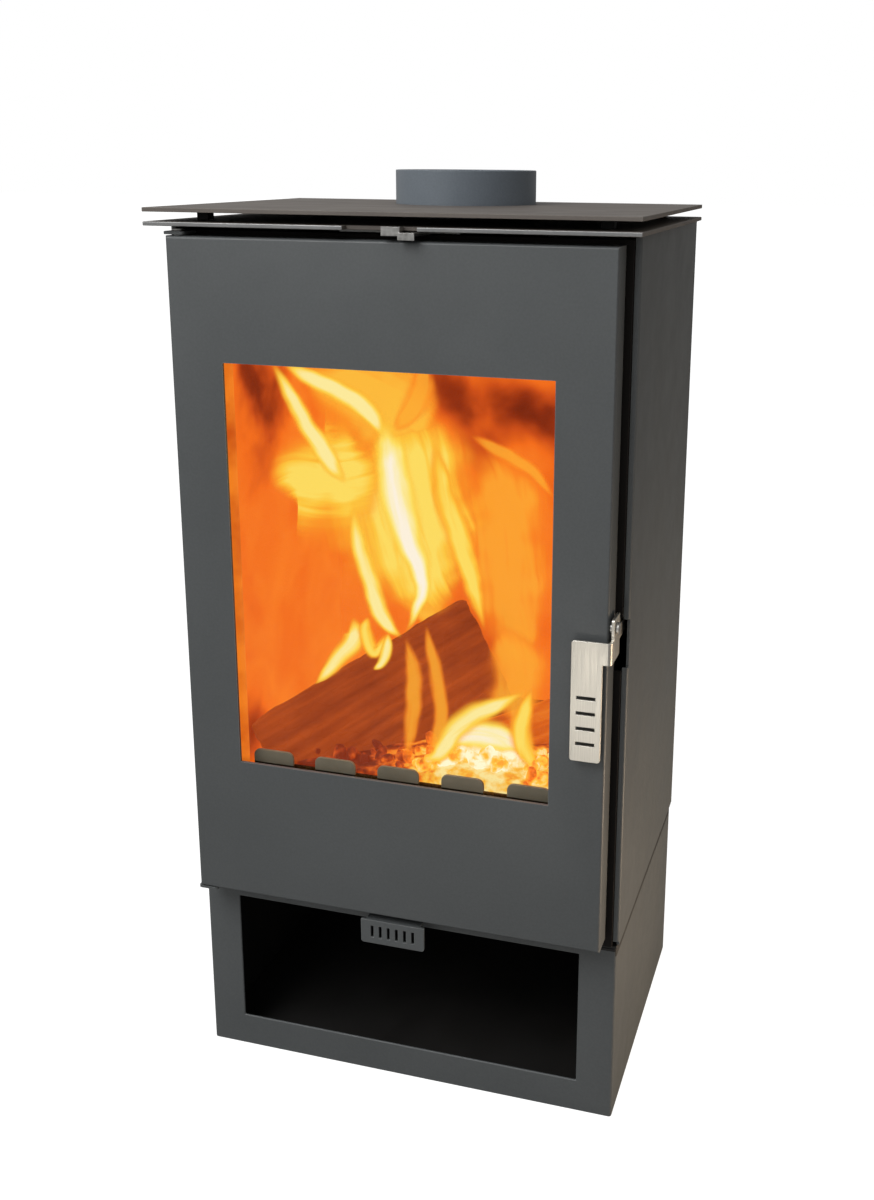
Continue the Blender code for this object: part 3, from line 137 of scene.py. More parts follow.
def select_only(piece):
    """Select one object and make it active."""
    bpy.ops.object.select_all(action="DESELECT")
    piece.select_set(True)
    bpy.context.view_layer.objects.active = piece


def dress(nodes, look, body="stove_body", rounding=0.0006, steps=2):
    """Stand a finished copy in for each CAD node, its edges rounded as real cut edges are."""
    made = []
    for name in nodes:
        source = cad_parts[name]
        piece = bpy.data.objects.new(f"{name}_finished", source.data.copy())
        bpy.context.scene.collection.objects.link(piece)
        select_only(piece)
        if piece.data.has_custom_normals:
            bpy.ops.mesh.customdata_custom_splitnormals_clear()
        bpy.ops.object.mode_set(mode="EDIT")
        bpy.ops.mesh.select_all(action="SELECT")
        bpy.ops.mesh.remove_doubles(threshold=0.00002)
        bpy.ops.mesh.dissolve_limited(angle_limit=math.radians(0.5))
        bpy.ops.object.mode_set(mode="OBJECT")
        if rounding:
            bevel = piece.modifiers.new("rounding", "BEVEL")
            bevel.width = rounding
            bevel.segments = steps
            bevel.limit_method = "ANGLE"
            bevel.angle_limit = math.radians(40)
            bevel.harden_normals = True
            bpy.ops.object.shade_smooth_by_angle(angle=math.radians(40))
            bpy.ops.object.modifier_apply(modifier=bevel.name)
        else:
            bpy.ops.object.shade_smooth_by_angle(angle=math.radians(40))
        piece.data.materials.clear()
        piece.data.materials.append(look)
        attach(piece, body)
        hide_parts(name)
        made.append(piece)
    return made


grey_paint = stove_paint("satin_grey_stove_paint", ("535657", "575a5b"), "8f9190", 0.46, 2.4, 0.10)
black_paint = stove_paint("matt_black_stove_paint", ("121110", "1a1816"), "3a3836", 0.62, 2.4, 0.12)

shell = dress(["base_shell"], grey_paint, rounding=0.0014, steps=3)[0]
dress(["base_foot_flange"], grey_paint)
dress(["base_top", "base_floor"], black_paint)
back = dress(["base_back"], black_paint)[0]
back.data.materials.append(grey_paint)
for face in back.data.polygons:
    if face.normal.y > 0.5:
        face.material_index = 1

# The store is matt black inside. A band along the top of its outside, 3 mm deep at the front and 8.5 mm on
# the sides, is painted black as a painted shadow where the body meets the store.
shell.data.materials.append(black_paint)
shell_low, shell_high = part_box("base_shell")
SHEET = 0.003
FRONT_SEAM_SHADOW = 0.0030
SIDE_SEAM_SHADOW = 0.0085
select_only(shell)
bpy.ops.object.mode_set(mode="EDIT")
for seam in (FRONT_SEAM_SHADOW, SIDE_SEAM_SHADOW):
    bpy.ops.mesh.select_all(action="SELECT")
    bpy.ops.mesh.bisect(plane_co=(0, 0, shell_high.z - seam), plane_no=(0, 0, 1))
bpy.ops.object.mode_set(mode="OBJECT")
SKIN = SHEET * 0.9
for face in shell.data.polygons:
    inside = shell_low.x + SKIN < face.center.x < shell_high.x - SKIN
    if inside and face.center.y > shell_low.y + SKIN:
        face.material_index = 1
    if face.center.z > shell_high.z - (SIDE_SEAM_SHADOW if abs(face.normal.x) > 0.5 else FRONT_SEAM_SHADOW):
        face.material_index = 1


# Body. Two side panels folded at the front and back, and a louvred heat shield behind, in the same
# satin grey paint. The folds have a 3 mm outside radius.
dress(["side_panel_left", "side_panel_right"], grey_paint, rounding=0.0014, steps=3)
dress(["rear_shield"], grey_paint)


# Top plates. Two 4 mm plates with an air gap between them, kept apart by black square spacers. Heat
# has turned their matt paint a little warmer than the body's, and the lower plate's rounded front
# edge is painted light grey as a painted highlight.
warm_paint = stove_paint("matt_warm_grey_stove_paint", ("605954", "6d665f"), "888279", 0.55, 1.8, 0.14)
edge_highlight_paint = stove_paint("grey_stove_paint_painted_highlight", ("7c7d7d", "a3a3a2"), "c0bfbd", 0.34, 1.8, 0.06, 0.4)

dress(["upper_top_plate"], warm_paint, rounding=0.0005)
lower_plate = dress(["lower_top_plate"], warm_paint, rounding=0.0012, steps=3)[0]
lower_plate.data.materials.append(edge_highlight_paint)
plate_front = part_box("lower_top_plate")[0].y
# The lower plate's front faces take the lighter paint as a painted highlight along its rounded edge.
for face in lower_plate.data.polygons:
    if face.normal.y < -0.5 and face.center.y < plate_front + 0.002:
        face.material_index = 1
dress([f"plate_spacer_{n}" for n in (1, 2, 3, 4)], black_paint, rounding=0.0004)


# Flue collar. A rolled and welded steel ring with a turned rim, in a bluish satin paint; its weld
# runs down the back.
collar_paint = stove_paint("satin_blue_grey_stove_paint", ("636b73", "70787f"), "8b9198", 0.34, 2.0, 0.08)
dress(["flue_collar"], collar_paint, rounding=0.0008, steps=3)


# Firebox. Welded 4 mm plate in matt black, stained by smoke: front frame, walls, back, floor, top,
# shelf, airwash duct, steel baffle, ash pan, valve lid and slide guides.
smoked, where = new_look("smoke_stained_black_steel")
soot = add(smoked, "TexNoise", {"Vector": where.outputs["Object"], "Scale": 14.0, "Detail": 5.0})
grit = add(smoked, "TexNoise", {"Vector": where.outputs["Object"], "Scale": 520.0, "Detail": 2.0})
stain = add(
    smoked,
    "ValToRGB",
    {0: soot.outputs[0]},
    [(0.30, "100e0d"), (0.55, "1d1a18"), (0.75, "2b2622")],
)
dull = add(smoked, "MapRange", {0: soot.outputs[0], 1: 0.3, 2: 0.7, 3: 0.58, 4: 0.82})
rough_steel = add(smoked, "Bump", {"Strength": 0.4, "Distance": 0.00015, "Height": grit.outputs[0]})
show(
    smoked,
    add(
        smoked,
        "BsdfPrincipled",
        {
            "Base Color": stain.outputs[0],
            "Roughness": dull.outputs[0],
            "Metallic": 0.2,
            "Normal": rough_steel.outputs[0],
        },
    ),
)
firebox_nodes = ["firebox_wall_left", "firebox_wall_right", "firebox_back", "firebox_floor"]
firebox_nodes += ["firebox_top", "firebox_shelf", "airwash_duct", "baffle_plate", "ash_pan", "air_valve_lid"]
firebox_nodes += ["lever_guide_left", "lever_guide_right"]
dress(firebox_nodes, smoked)

# The front frame: black steel whose face inside the window's outline carries a painted orange glow of the
# fire's light, fading out at the outline's edges.
lip, where = new_look("fire_lit_black_steel_frame")
scale = add(lip, "TexNoise", {"Vector": where.outputs["Object"], "Scale": 22.0, "Detail": 3.0})
fireglow_shades = add(lip, "ValToRGB", {0: scale.outputs[0]}, [(0.35, "d25c1a"), (0.65, "f98a2a")])
scaly = add(lip, "Bump", {"Strength": 0.4, "Distance": 0.0002, "Height": scale.outputs[0]})
axes = add(lip, "SeparateXYZ", {0: where.outputs["Object"]})
across = add(lip, "Math", {0: axes.outputs["X"]}, operation="ABSOLUTE")
beside = add(lip, "MapRange", {0: across.outputs[0], 1: 0.198, 2: 0.183, 3: 0.0, 4: 0.95})
above = add(lip, "MapRange", {0: axes.outputs["Z"], 1: 0.33, 2: 0.36, 3: 0.0, 4: 1.0})
below = add(lip, "MapRange", {0: axes.outputs["Z"], 1: 0.815, 2: 0.79, 3: 0.0, 4: 1.0})
level = add(lip, "Math", {0: above.outputs[0], 1: below.outputs[0]}, operation="MULTIPLY")
lit = add(lip, "Math", {0: beside.outputs[0], 1: level.outputs[0]}, operation="MULTIPLY")
painted_fireglow = add(
    lip, "Mix", {0: lit.outputs[0], 6: hex_colour("000000"), 7: fireglow_shades.outputs[0]}, data_type="RGBA"
)
show(
    lip,
    add(
        lip,
        "BsdfPrincipled",
        {
            "Base Color": hex_colour("1d1a18"),
            "Roughness": 0.7,
            "Specular IOR Level": 0.15,
            "Normal": scaly.outputs[0],
            "Emission Color": painted_fireglow.outputs[2],
            "Emission Strength": 1.0,
        },
    ),
)
dress(["firebox_front"], lip)


# Linings. Pressed vermiculite boards, 25 mm thick: golden flakes in a tan binder, blackened where
# smoke reaches them. The three upright ones carry a painted orange glow of firelight, dark red in painted
# shade.
def vermiculite(name, shaded_places=None):
    """Vermiculite board; with shaded places it has a painted glow of firelight, and each place, reach and
    depth dims the glow as painted shade.
    """
    look, where = new_look(name)
    flakes = add(look, "TexVoronoi", {"Vector": where.outputs["Object"], "Scale": 420.0})
    shades = ("3f2a14", "2a1b0d") if shaded_places else ("8c7044", "5a452b")
    tan = add(look, "ValToRGB", {0: flakes.outputs["Distance"]}, [(0.1, shades[0]), (0.7, shades[1])])
    smoke = add(look, "TexNoise", {"Vector": where.outputs["Object"], "Scale": 9.0, "Detail": 4.0})
    veil = add(look, "ValToRGB", {0: smoke.outputs[0]}, [(0.35, 0.25), (0.7, 0.85)])
    tone = add(
        look, "Mix", {0: 1.0, 6: tan.outputs[0], 7: veil.outputs[0]}, data_type="RGBA", blend_type="MULTIPLY"
    )
    bump = add(look, "Bump", {"Strength": 0.5, "Distance": 0.0006, "Height": flakes.outputs["Distance"]})
    inputs = {
        "Base Color": tone.outputs[2],
        "Roughness": 0.92,
        "Specular IOR Level": 0.15,
        "Normal": bump.outputs[0],
    }
    if shaded_places:
        # The emission below is a painted glow of the fire's light on the board; the noise and the shaded
        # places dim it as painted shade.
        patch = add(
            look,
            "TexNoise",
            {"Vector": where.outputs["Object"], "Scale": 13.0, "Detail": 3.0, "Distortion": 0.6},
        )
        heat = add(look, "MapRange", {0: patch.outputs[0], 1: 0.25, 2: 0.75, 3: 0.52, 4: 0.74})
        swirl = add(look, "TexNoise", {"Vector": where.outputs["Object"], "Scale": 16.0, "Detail": 2.0})
        bent = add(look, "VectorMath", {0: swirl.outputs["Color"], 1: (0.5, 0.5, 0.5)}, operation="SUBTRACT")
        sway = add(look, "VectorMath", {0: bent.outputs[0], "Scale": 0.070}, operation="SCALE")
        moved = add(look, "VectorMath", {0: where.outputs["Object"], 1: sway.outputs[0]}, operation="ADD")
        for place, reach, depth in shaded_places:
            local = add(
                look,
                "Mapping",
                {"Vector": moved.outputs[0], "Location": place, "Scale": reach},
                vector_type="TEXTURE",
            )
            away = add(look, "VectorMath", {0: local.outputs[0]}, operation="LENGTH")
            painted_shade = add(
                look,
                "MapRange",
                {0: away.outputs["Value"], 1: 1.0, 2: 0.1, 3: 0.0, 4: depth},
                interpolation_type="SMOOTHSTEP",
            )
            heat = add(look, "Math", {0: heat.outputs[0], 1: painted_shade.outputs[0]}, operation="SUBTRACT")
        glow = add(
            look,
            "ValToRGB",
            {0: heat.outputs[0]},
            [(0.0, "5c1a0b"), (0.18, "93310f"), (0.36, "cf531a"), (0.56, "f7741f"), (0.74, "ff8a2c")],
        )
        inputs |= {"Emission Color": glow.outputs[0], "Emission Strength": 0.96}
    return show(look, add(look, "BsdfPrincipled", inputs))


MM = 0.001
DOOR_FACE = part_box("door_panel")[0].y


def at(x, y, z):
    """A place given in millimetres: across, back from the door's face, and up from the floor."""
    return Vector((x * MM, DOOR_FACE + y * MM, z * MM))


board = vermiculite("smoked_vermiculite_board")
lit_board = vermiculite(
    "fire_lit_vermiculite_board",
    (
        (at(-183, 90, 748), (0.045, 0.058, 0.060), 0.46),
        (at(-183, 152, 722), (0.045, 0.070, 0.066), 0.44),
        (at(-183, 120, 665), (0.045, 0.070, 0.050), 0.20),
        (at(26, 314, 700), (0.088, 0.045, 0.072), 0.46),
        (at(84, 314, 690), (0.060, 0.045, 0.070), 0.26),
        (at(-44, 314, 716), (0.050, 0.045, 0.066), 0.36),
        (at(-2, 314, 640), (0.050, 0.045, 0.048), 0.20),
        (at(-183, 42, 372), (0.050, 0.075, 0.070), 0.34),
        (at(5, 314, 400), (0.070, 0.045, 0.090), 0.26),
        (at(112, 314, 640), (0.060, 0.045, 0.120), 0.20),
    ),
)
dress(["brick_left", "brick_right", "brick_back"], lit_board, rounding=0.0015)
dress(["brick_base", "baffle_board"], board, rounding=0.0015)


# Grate. One casting with nine slots, dark and pitted, dusted with ash.
cast, where = new_look("sooty_cast_iron")
pits = add(cast, "TexNoise", {"Vector": where.outputs["Object"], "Scale": 300.0, "Detail": 4.0})
dust = add(cast, "TexNoise", {"Vector": where.outputs["Object"], "Scale": 30.0, "Detail": 5.0})
ashen = add(cast, "ValToRGB", {0: dust.outputs[0]}, [(0.4, "2a2826"), (0.7, "6f6a64")])
pitted = add(cast, "Bump", {"Strength": 0.6, "Distance": 0.0005, "Height": pits.outputs[0]})
show(
    cast,
    add(
        cast,
        "BsdfPrincipled",
        {"Base Color": ashen.outputs[0], "Roughness": 0.82, "Metallic": 0.3, "Normal": pitted.outputs[0]},
    ),
)
dress(["grate"], cast, rounding=0.0012)


# Log guard. A 3 mm plate with five tabs that stand behind the glass; below the window's edge its grey
# paint is painted black as a painted shadow.
tab_paint, where = new_look("grey_guard_paint_painted_shadow")
levels = add(tab_paint, "SeparateXYZ", {0: where.outputs["Object"]})
film = add(tab_paint, "TexNoise", {"Vector": where.outputs["Object"], "Scale": 40.0, "Detail": 4.0})
greyed = add(tab_paint, "ValToRGB", {0: film.outputs[0]}, [(0.3, "848d94"), (0.7, "929ba2")])
# Below this level the guard's paint turns black: a painted shadow under the window's edge.
SHADOW_LEVEL = 0.3585
SHADOW_FADE = 0.0008
line = add(
    tab_paint,
    "MapRange",
    {0: levels.outputs["Z"], 1: SHADOW_LEVEL, 2: SHADOW_LEVEL + SHADOW_FADE, 3: 0.0, 4: 1.0},
)
guard_colour = add(
    tab_paint,
    "Mix",
    {0: line.outputs[0], 6: hex_colour("0a0908"), 7: greyed.outputs[0]},
    data_type="RGBA",
)
film_bump = add(tab_paint, "Bump", {"Strength": 0.3, "Distance": 0.0002, "Height": film.outputs[0]})
show(
    tab_paint,
    add(
        tab_paint,
        "BsdfPrincipled",
        {"Base Color": guard_colour.outputs[2], "Roughness": 0.55, "Normal": film_bump.outputs[0]},
    ),
)
dress(["log_guard"], tab_paint, rounding=0.0005)


# Air slides. The upper one is bright zinc-plated sheet with a bent grip; the lower one is painted,
# with upright slots in its tab.
zinc, where = new_look("bright_zinc_plate")
spangle = add(zinc, "TexVoronoi", {"Vector": where.outputs["Object"], "Scale": 260.0})
silver = add(zinc, "ValToRGB", {0: spangle.outputs["Distance"]}, [(0.0, "a9a8a5"), (1.0, "c9c8c4")])
dim = add(zinc, "MapRange", {0: spangle.outputs["Distance"], 1: 0.0, 2: 1.0, 3: 0.28, 4: 0.42})
show(
    zinc,
    add(
        zinc,
        "BsdfPrincipled",
        {"Base Color": silver.outputs[0], "Roughness": dim.outputs[0], "Metallic": 1.0},
    ),
)
dress(["secondary_air_slide"], zinc, "secondary_air", rounding=0.0004)
dress(["primary_air_slide"], grey_paint, "primary_air", rounding=0.0005)


# Door. A 3 mm front sheet folded back on all sides, with a black liner and retaining frame inside,
# held by six zinc-plated screws.
dress(["door_panel"], grey_paint, "door", rounding=0.0013, steps=3)
dress(["door_liner", "glass_retainer"], smoked, "door", rounding=0.0003)
door_zinc = [f"retainer_screw_{n}" for n in range(1, 7)] + ["latch_pivot_bolt"]
dress(door_zinc, zinc, "door", rounding=0.0003)
dress(["hinge_pin_top", "hinge_pin_bottom", "latch_keeper"], zinc, rounding=0.0003)
dress(["hinge_bracket_top", "hinge_bracket_bottom"], grey_paint, rounding=0.0004)


# Window. One pane of 4 mm ceramic fire glass, clear with a slight amber tint, mirror smooth.
pane, where = new_look("clear_ceramic_fire_glass")
clear = add(pane, "BsdfTransparent", {"Color": hex_colour("fff9ee")})
mirror = add(pane, "BsdfGlossy", {"Color": hex_colour("ffffff"), "Roughness": 0.03})
rim = add(pane, "Fresnel", {"IOR": 1.45})
breath = add(pane, "TexNoise", {"Vector": where.outputs["Object"], "Scale": 11.0, "Detail": 3.0})
share = add(pane, "MapRange", {0: breath.outputs[0], 1: 0.3, 2: 0.7, 3: 0.25, 4: 0.45})
sheen = add(pane, "Math", {0: rim.outputs[0], 1: share.outputs[0]}, operation="MULTIPLY")
show(pane, add(pane, "MixShader", {0: sheen.outputs[0], 1: clear.outputs[0], 2: mirror.outputs[0]}))
dress(["door_glass"], pane, "door", rounding=0.0004)


# Seals. The glass lies on a flat black glass-fibre tape, and a 10 mm braided rope round the liner
# closes the door against the firebox front.
woven, where = new_look("black_glass_fibre_tape")
ribs = add(
    woven,
    "TexWave",
    {"Vector": where.outputs["Object"], "Scale": 160.0, "Distortion": 1.0},
    bands_direction="DIAGONAL",
)
thread = add(woven, "ValToRGB", {0: ribs.outputs["Fac"]}, [(0.2, "171716"), (0.9, "34332f")])
ribbed = add(woven, "Bump", {"Strength": 0.8, "Distance": 0.0005, "Height": ribs.outputs["Fac"]})
show(
    woven,
    add(
        woven,
        "BsdfPrincipled",
        {"Base Color": thread.outputs[0], "Roughness": 0.95, "Normal": ribbed.outputs[0]},
    ),
)
dress(["glass_gasket", "door_rope_seal"], woven, "door", rounding=0)


# Handle. A 3 mm stainless plate bent round the door's edge; the grip is brushed along its length
# and its cut edges are polished round.
steel, where = new_look("brushed_stainless_steel")
stretched = add(steel, "Mapping", {"Vector": where.outputs["Object"], "Scale": (1400.0, 1400.0, 22.0)})
brush = add(steel, "TexNoise", {"Vector": stretched.outputs[0], "Scale": 1.0, "Detail": 3.0})
satin = add(steel, "ValToRGB", {0: brush.outputs[0]}, [(0.3, "d2cdc2"), (0.7, "eeeae0")])
drag = add(steel, "MapRange", {0: brush.outputs[0], 1: 0.3, 2: 0.7, 3: 0.30, 4: 0.46})
scored = add(steel, "Bump", {"Strength": 0.25, "Distance": 0.0001, "Height": brush.outputs[0]})
show(
    steel,
    add(
        steel,
        "BsdfPrincipled",
        {
            "Base Color": satin.outputs[0],
            "Roughness": drag.outputs[0],
            "Metallic": 1.0,
            "Normal": scored.outputs[0],
        },
    ),
)
dress(["door_handle"], steel, "handle", rounding=0.0007, steps=3)


# Fuel. One big split log leans from the front left corner up to the back, its flat split face to the
# window, charred and glowing dark red, with a burnt-through billet beside it at the right.
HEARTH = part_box("brick_base")[1].z
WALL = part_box("brick_left")[1].x
VOXEL = 0.0030
LOG_LIFT = 0.0015
LOG_ROOM = 0.006


def rough(piece, size, depth):
    """Press a cloudy relief of one grain size and depth into a piece."""
    relief = bpy.data.textures.new(f"{piece.name}_relief", "CLOUDS")
    relief.noise_scale = size
    relief.noise_depth = 3
    press = piece.modifiers.new("relief", "DISPLACE")
    press.texture = relief
    press.texture_coords = "LOCAL"
    press.strength = depth
    press.mid_level = 0.5
    bpy.ops.object.modifier_apply(modifier=press.name)


def split_log(name, top_start, top_end, radius, facing, look):
    """Cleave a round along its length, with the split face's top edge between two places, and char it."""
    along = top_end - top_start
    upward = (Vector((0, 0, 1)) - along * (along.z / along.length_squared)).normalized()
    outward = (facing - along * (facing.dot(along) / along.length_squared)).normalized()
    upward = (upward - outward * upward.dot(outward)).normalized()
    middle = (top_start + top_end) / 2 - upward * radius
    bpy.ops.object.select_all(action="DESELECT")
    bpy.ops.mesh.primitive_cylinder_add(
        vertices=40,
        radius=radius,
        depth=along.length,
        location=middle,
        rotation=along.to_track_quat("Z", "Y").to_euler(),
    )
    piece = bpy.context.object
    piece.name = name
    bpy.ops.object.transform_apply(location=True, rotation=True, scale=True)
    cuts = [
        (middle, outward),
        (Vector((0, 0, HEARTH + LOG_LIFT)), Vector((0, 0, -1))),
        (Vector((WALL + LOG_ROOM, 0, 0)), Vector((-1, 0, 0))),
        (Vector((-WALL - LOG_ROOM, 0, 0)), Vector((1, 0, 0))),
    ]
    for place, side in cuts:
        bpy.ops.object.mode_set(mode="EDIT")
        bpy.ops.mesh.select_all(action="SELECT")
        bpy.ops.mesh.bisect(plane_co=place, plane_no=side, use_fill=True, clear_outer=True)
        bpy.ops.object.mode_set(mode="OBJECT")
    grid = piece.modifiers.new("grid", "REMESH")
    grid.mode = "VOXEL"
    grid.voxel_size = VOXEL
    bpy.ops.object.modifier_apply(modifier=grid.name)
    rough(piece, 0.045, 0.006)
    rough(piece, 0.011, 0.0022)
    bpy.ops.object.shade_smooth()
    piece.data.materials.clear()
    piece.data.materials.append(look)
    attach(piece, "stove_body")
    return piece


def charred_wood(name, along, stops, glow):
    """Burning wood: a grain that runs along it, crazed like charcoal, and dark red where it glows."""
    look, where = new_look(name)
    turn = along.to_track_quat("X", "Z").to_euler()
    lined = add(look, "Mapping", {"Vector": where.outputs["Object"], "Rotation": turn}, vector_type="TEXTURE")
    drawn = add(look, "Mapping", {"Vector": lined.outputs[0], "Scale": (9.0, 110.0, 110.0)})
    grain = add(look, "TexNoise", {"Vector": drawn.outputs[0], "Scale": 1.0, "Detail": 4.0})
    checks = add(look, "Mapping", {"Vector": lined.outputs[0], "Scale": (55.0, 90.0, 90.0)})
    craze = add(look, "TexVoronoi", {"Vector": checks.outputs[0], "Scale": 1.0}, feature="DISTANCE_TO_EDGE")
    seam = add(look, "MapRange", {0: craze.outputs["Distance"], 1: 0.0, 2: 0.10, 3: 0.0, 4: 1.0})
    cloud = add(look, "TexNoise", {"Vector": where.outputs["Object"], "Scale": 9.0, "Detail": 3.0})
    mixed = add(look, "Math", {0: grain.outputs[0], 1: cloud.outputs[0]}, operation="ADD")
    halved = add(look, "Math", {0: mixed.outputs[0], 1: 0.5}, operation="MULTIPLY")
    heat = add(look, "ValToRGB", {0: halved.outputs[0]}, stops)
    char = add(look, "ValToRGB", {0: grain.outputs[0]}, [(0.3, "0c0705"), (0.7, "1d100a")])
    deep = add(look, "Math", {0: seam.outputs[0], 1: grain.outputs[0]}, operation="MULTIPLY")
    bump = add(look, "Bump", {"Strength": 0.7, "Distance": 0.0015, "Height": deep.outputs[0]})
    shader = add(
        look,
        "BsdfPrincipled",
        {
            "Base Color": char.outputs[0],
            "Roughness": 0.9,
            "Specular IOR Level": 0.15,
            "Normal": bump.outputs[0],
            "Emission Color": heat.outputs[0],
            "Emission Strength": glow,
        },
    )
    return show(look, shader)


log_low, log_high = at(-176, 46, 388), at(12, 215, 495)
window_side = Vector((0.55, -1.0, 0.12))
burning = charred_wood(
    "burning_split_log",
    log_high - log_low,
    [(0.30, "742b10"), (0.46, "983f18"), (0.60, "ae4c1c"), (0.80, "cc6024")],
    1.0,
)
split_log("big_split_log", log_low, log_high, 0.088, window_side, burning)

billet_low, billet_high = at(36, 150, 372), at(150, 236, 398)
embered = charred_wood(
    "embered_split_log",
    billet_high - billet_low,
    [(0.30, "a83a12"), (0.50, "e06a1e"), (0.70, "ff9a34")],
    0.95,
)
split_log("burnt_billet", billet_low, billet_high, 0.034, Vector((0.2, -1.0, 0.3)), embered)


# Embers and ash. A bed of pale ash on the hearth carries broken charcoal, almost white hot in a heap
# at the right and dull red along the log's foot.
HEAP = at(70, 108, 338)
HEAP_RADIUS = 0.062
HEAP_STRETCH = 1.25


def heap_height(x, y):
    """How high the ash lies over the hearth at a place."""
    reach = math.hypot((x - HEAP.x) / HEAP_STRETCH, y - HEAP.y) / HEAP_RADIUS
    ripple = noise.noise(Vector((x * 38, y * 38, 2.0))) * 0.0022
    return 0.0045 + 0.021 * math.exp(-reach * reach * 1.3) + ripple


def ember_look(name, dark, bright, spread, strength):
    """Broken embers: hottest near the heap's middle, with black crusts where they cool."""
    look, where = new_look(name)
    centred = add(
        look,
        "Mapping",
        {
            "Vector": where.outputs["Object"],
            "Location": (-HEAP.x, -HEAP.y * HEAP_STRETCH, -HEAP.z),
            "Scale": (1.0, HEAP_STRETCH, 1.0),
        },
    )
    reach = add(look, "VectorMath", {0: centred.outputs[0]}, operation="LENGTH")
    near = add(look, "MapRange", {0: reach.outputs["Value"], 1: spread, 2: 0.01, 3: 0.0, 4: 1.0})
    crust = add(look, "TexNoise", {"Vector": where.outputs["Object"], "Scale": 75.0, "Detail": 3.0})
    mottle = add(look, "MapRange", {0: crust.outputs[0], 1: 0.35, 2: 0.65, 3: -0.20, 4: 0.22})
    hot = add(look, "Math", {0: near.outputs[0], 1: mottle.outputs[0]}, operation="ADD")
    heat = add(
        look,
        "ValToRGB",
        {0: hot.outputs[0]},
        [(0.0, dark), (0.18, "b04214"), (0.36, "f47c20"), (0.56, "ffc848"), (0.80, bright)],
    )
    flaky = add(look, "Bump", {"Strength": 0.6, "Distance": 0.001, "Height": crust.outputs[0]})
    shader = add(
        look,
        "BsdfPrincipled",
        {
            "Base Color": hex_colour("241d19"),
            "Roughness": 0.95,
            "Normal": flaky.outputs[0],
            "Emission Color": heat.outputs[0],
            "Emission Strength": strength,
        },
    )
    return show(look, shader)


bpy.ops.object.select_all(action="DESELECT")
bpy.ops.mesh.primitive_grid_add(x_subdivisions=90, y_subdivisions=58, size=1.0)
ash = bpy.context.object
ash.name = "ash_bed"
HEARTH_LEFT, HEARTH_RIGHT = -0.1795, 0.1795
HEARTH_FRONT, HEARTH_REAR = DOOR_FACE + 0.0690, DOOR_FACE + 0.3115
for point in ash.data.vertices:
    x = HEARTH_LEFT + (point.co.x + 0.5) * (HEARTH_RIGHT - HEARTH_LEFT)
    y = HEARTH_FRONT + (point.co.y + 0.5) * (HEARTH_REAR - HEARTH_FRONT)
    point.co = (x, y, HEARTH + max(0.0022, heap_height(x, y)))
bpy.ops.object.mode_set(mode="EDIT")
bpy.ops.mesh.select_all(action="SELECT")
bpy.ops.mesh.extrude_region_move()
bpy.ops.object.mode_set(mode="OBJECT")
for point in ash.data.vertices:
    if point.select:
        point.co.z = HEARTH + 0.0006
bpy.ops.object.mode_set(mode="EDIT")
bpy.ops.mesh.select_all(action="SELECT")
bpy.ops.mesh.normals_make_consistent(inside=False)
bpy.ops.object.mode_set(mode="OBJECT")
bpy.ops.object.shade_smooth_by_angle(angle=math.radians(50))
ash.data.materials.append(ember_look("glowing_wood_ash", "7a260d", "fff2b0", 0.135, 0.95))
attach(ash, "stove_body")

lots = random.Random(7)
lumps = []
coal = ember_look("glowing_charcoal", "7a260d", "fffbe6", 0.125, 1.1)
EMBERS = 170
for number in range(EMBERS):
    near_heap = number % 3
    if near_heap:
        turn, reach = lots.uniform(0, math.tau), lots.gauss(0, 0.55)
        x = HEAP.x + math.cos(turn) * reach * HEAP_RADIUS * 1.3
        y = HEAP.y + math.sin(turn) * abs(reach) * HEAP_RADIUS * 0.9
    else:
        x = lots.uniform(-0.170, 0.170)
        y = HEARTH_FRONT + 0.010 + abs(lots.gauss(0, 0.035))
    x = min(0.166, max(-0.166, x))
    y = min(HEARTH_REAR - 0.014, max(HEARTH_FRONT + 0.012, y))
    size = lots.uniform(0.0042, 0.0098)
    bpy.ops.object.select_all(action="DESELECT")
    bpy.ops.mesh.primitive_ico_sphere_add(
        subdivisions=2,
        radius=size,
        location=(x, y, HEARTH + heap_height(x, y) + size * 0.55),
        rotation=(lots.uniform(0, 3), lots.uniform(0, 3), lots.uniform(0, 3)),
        scale=(lots.uniform(0.9, 1.6), lots.uniform(0.7, 1.0), lots.uniform(0.6, 0.9)),
    )
    lump = bpy.context.object
    bpy.ops.object.transform_apply(location=True, rotation=True, scale=True)
    for point in lump.data.vertices:
        shift = noise.noise(point.co * 190.0) * size * 0.35
        point.co += (point.co - Vector((x, y, HEARTH + size * 0.5))).normalized() * shift
    lumps.append(lump)
select_only(lumps[0])
for lump in lumps:
    lump.select_set(True)
bpy.ops.object.join()
embers = bpy.context.object
embers.name = "charcoal_embers"
bpy.ops.object.transform_apply(location=True, rotation=True, scale=True)
bpy.ops.object.shade_smooth_by_angle(angle=math.radians(35))
embers.data.materials.clear()
embers.data.materials.append(coal)
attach(embers, "stove_body")


# Flames. Each is a thin glowing sheet that runs along its own line, bowed towards the window, with
# soft sides, soft ends and streaks along it. They get cooler from white through yellow to amber.
# Widths are in millimetres; every width is spread and softened so that the sheets melt together.
BOW = 0.06
ALONG_STEPS = 40
ACROSS_STEPS = 10
SHEET_THICKNESS = 0.0004
FLAME_ROOM = 0.003
SPREAD = 1.8
SOFT_SIDES = 8.0
TAPER = 0.45
TO_WINDOW = Vector((0.271, -0.928, 0.255)).normalized()


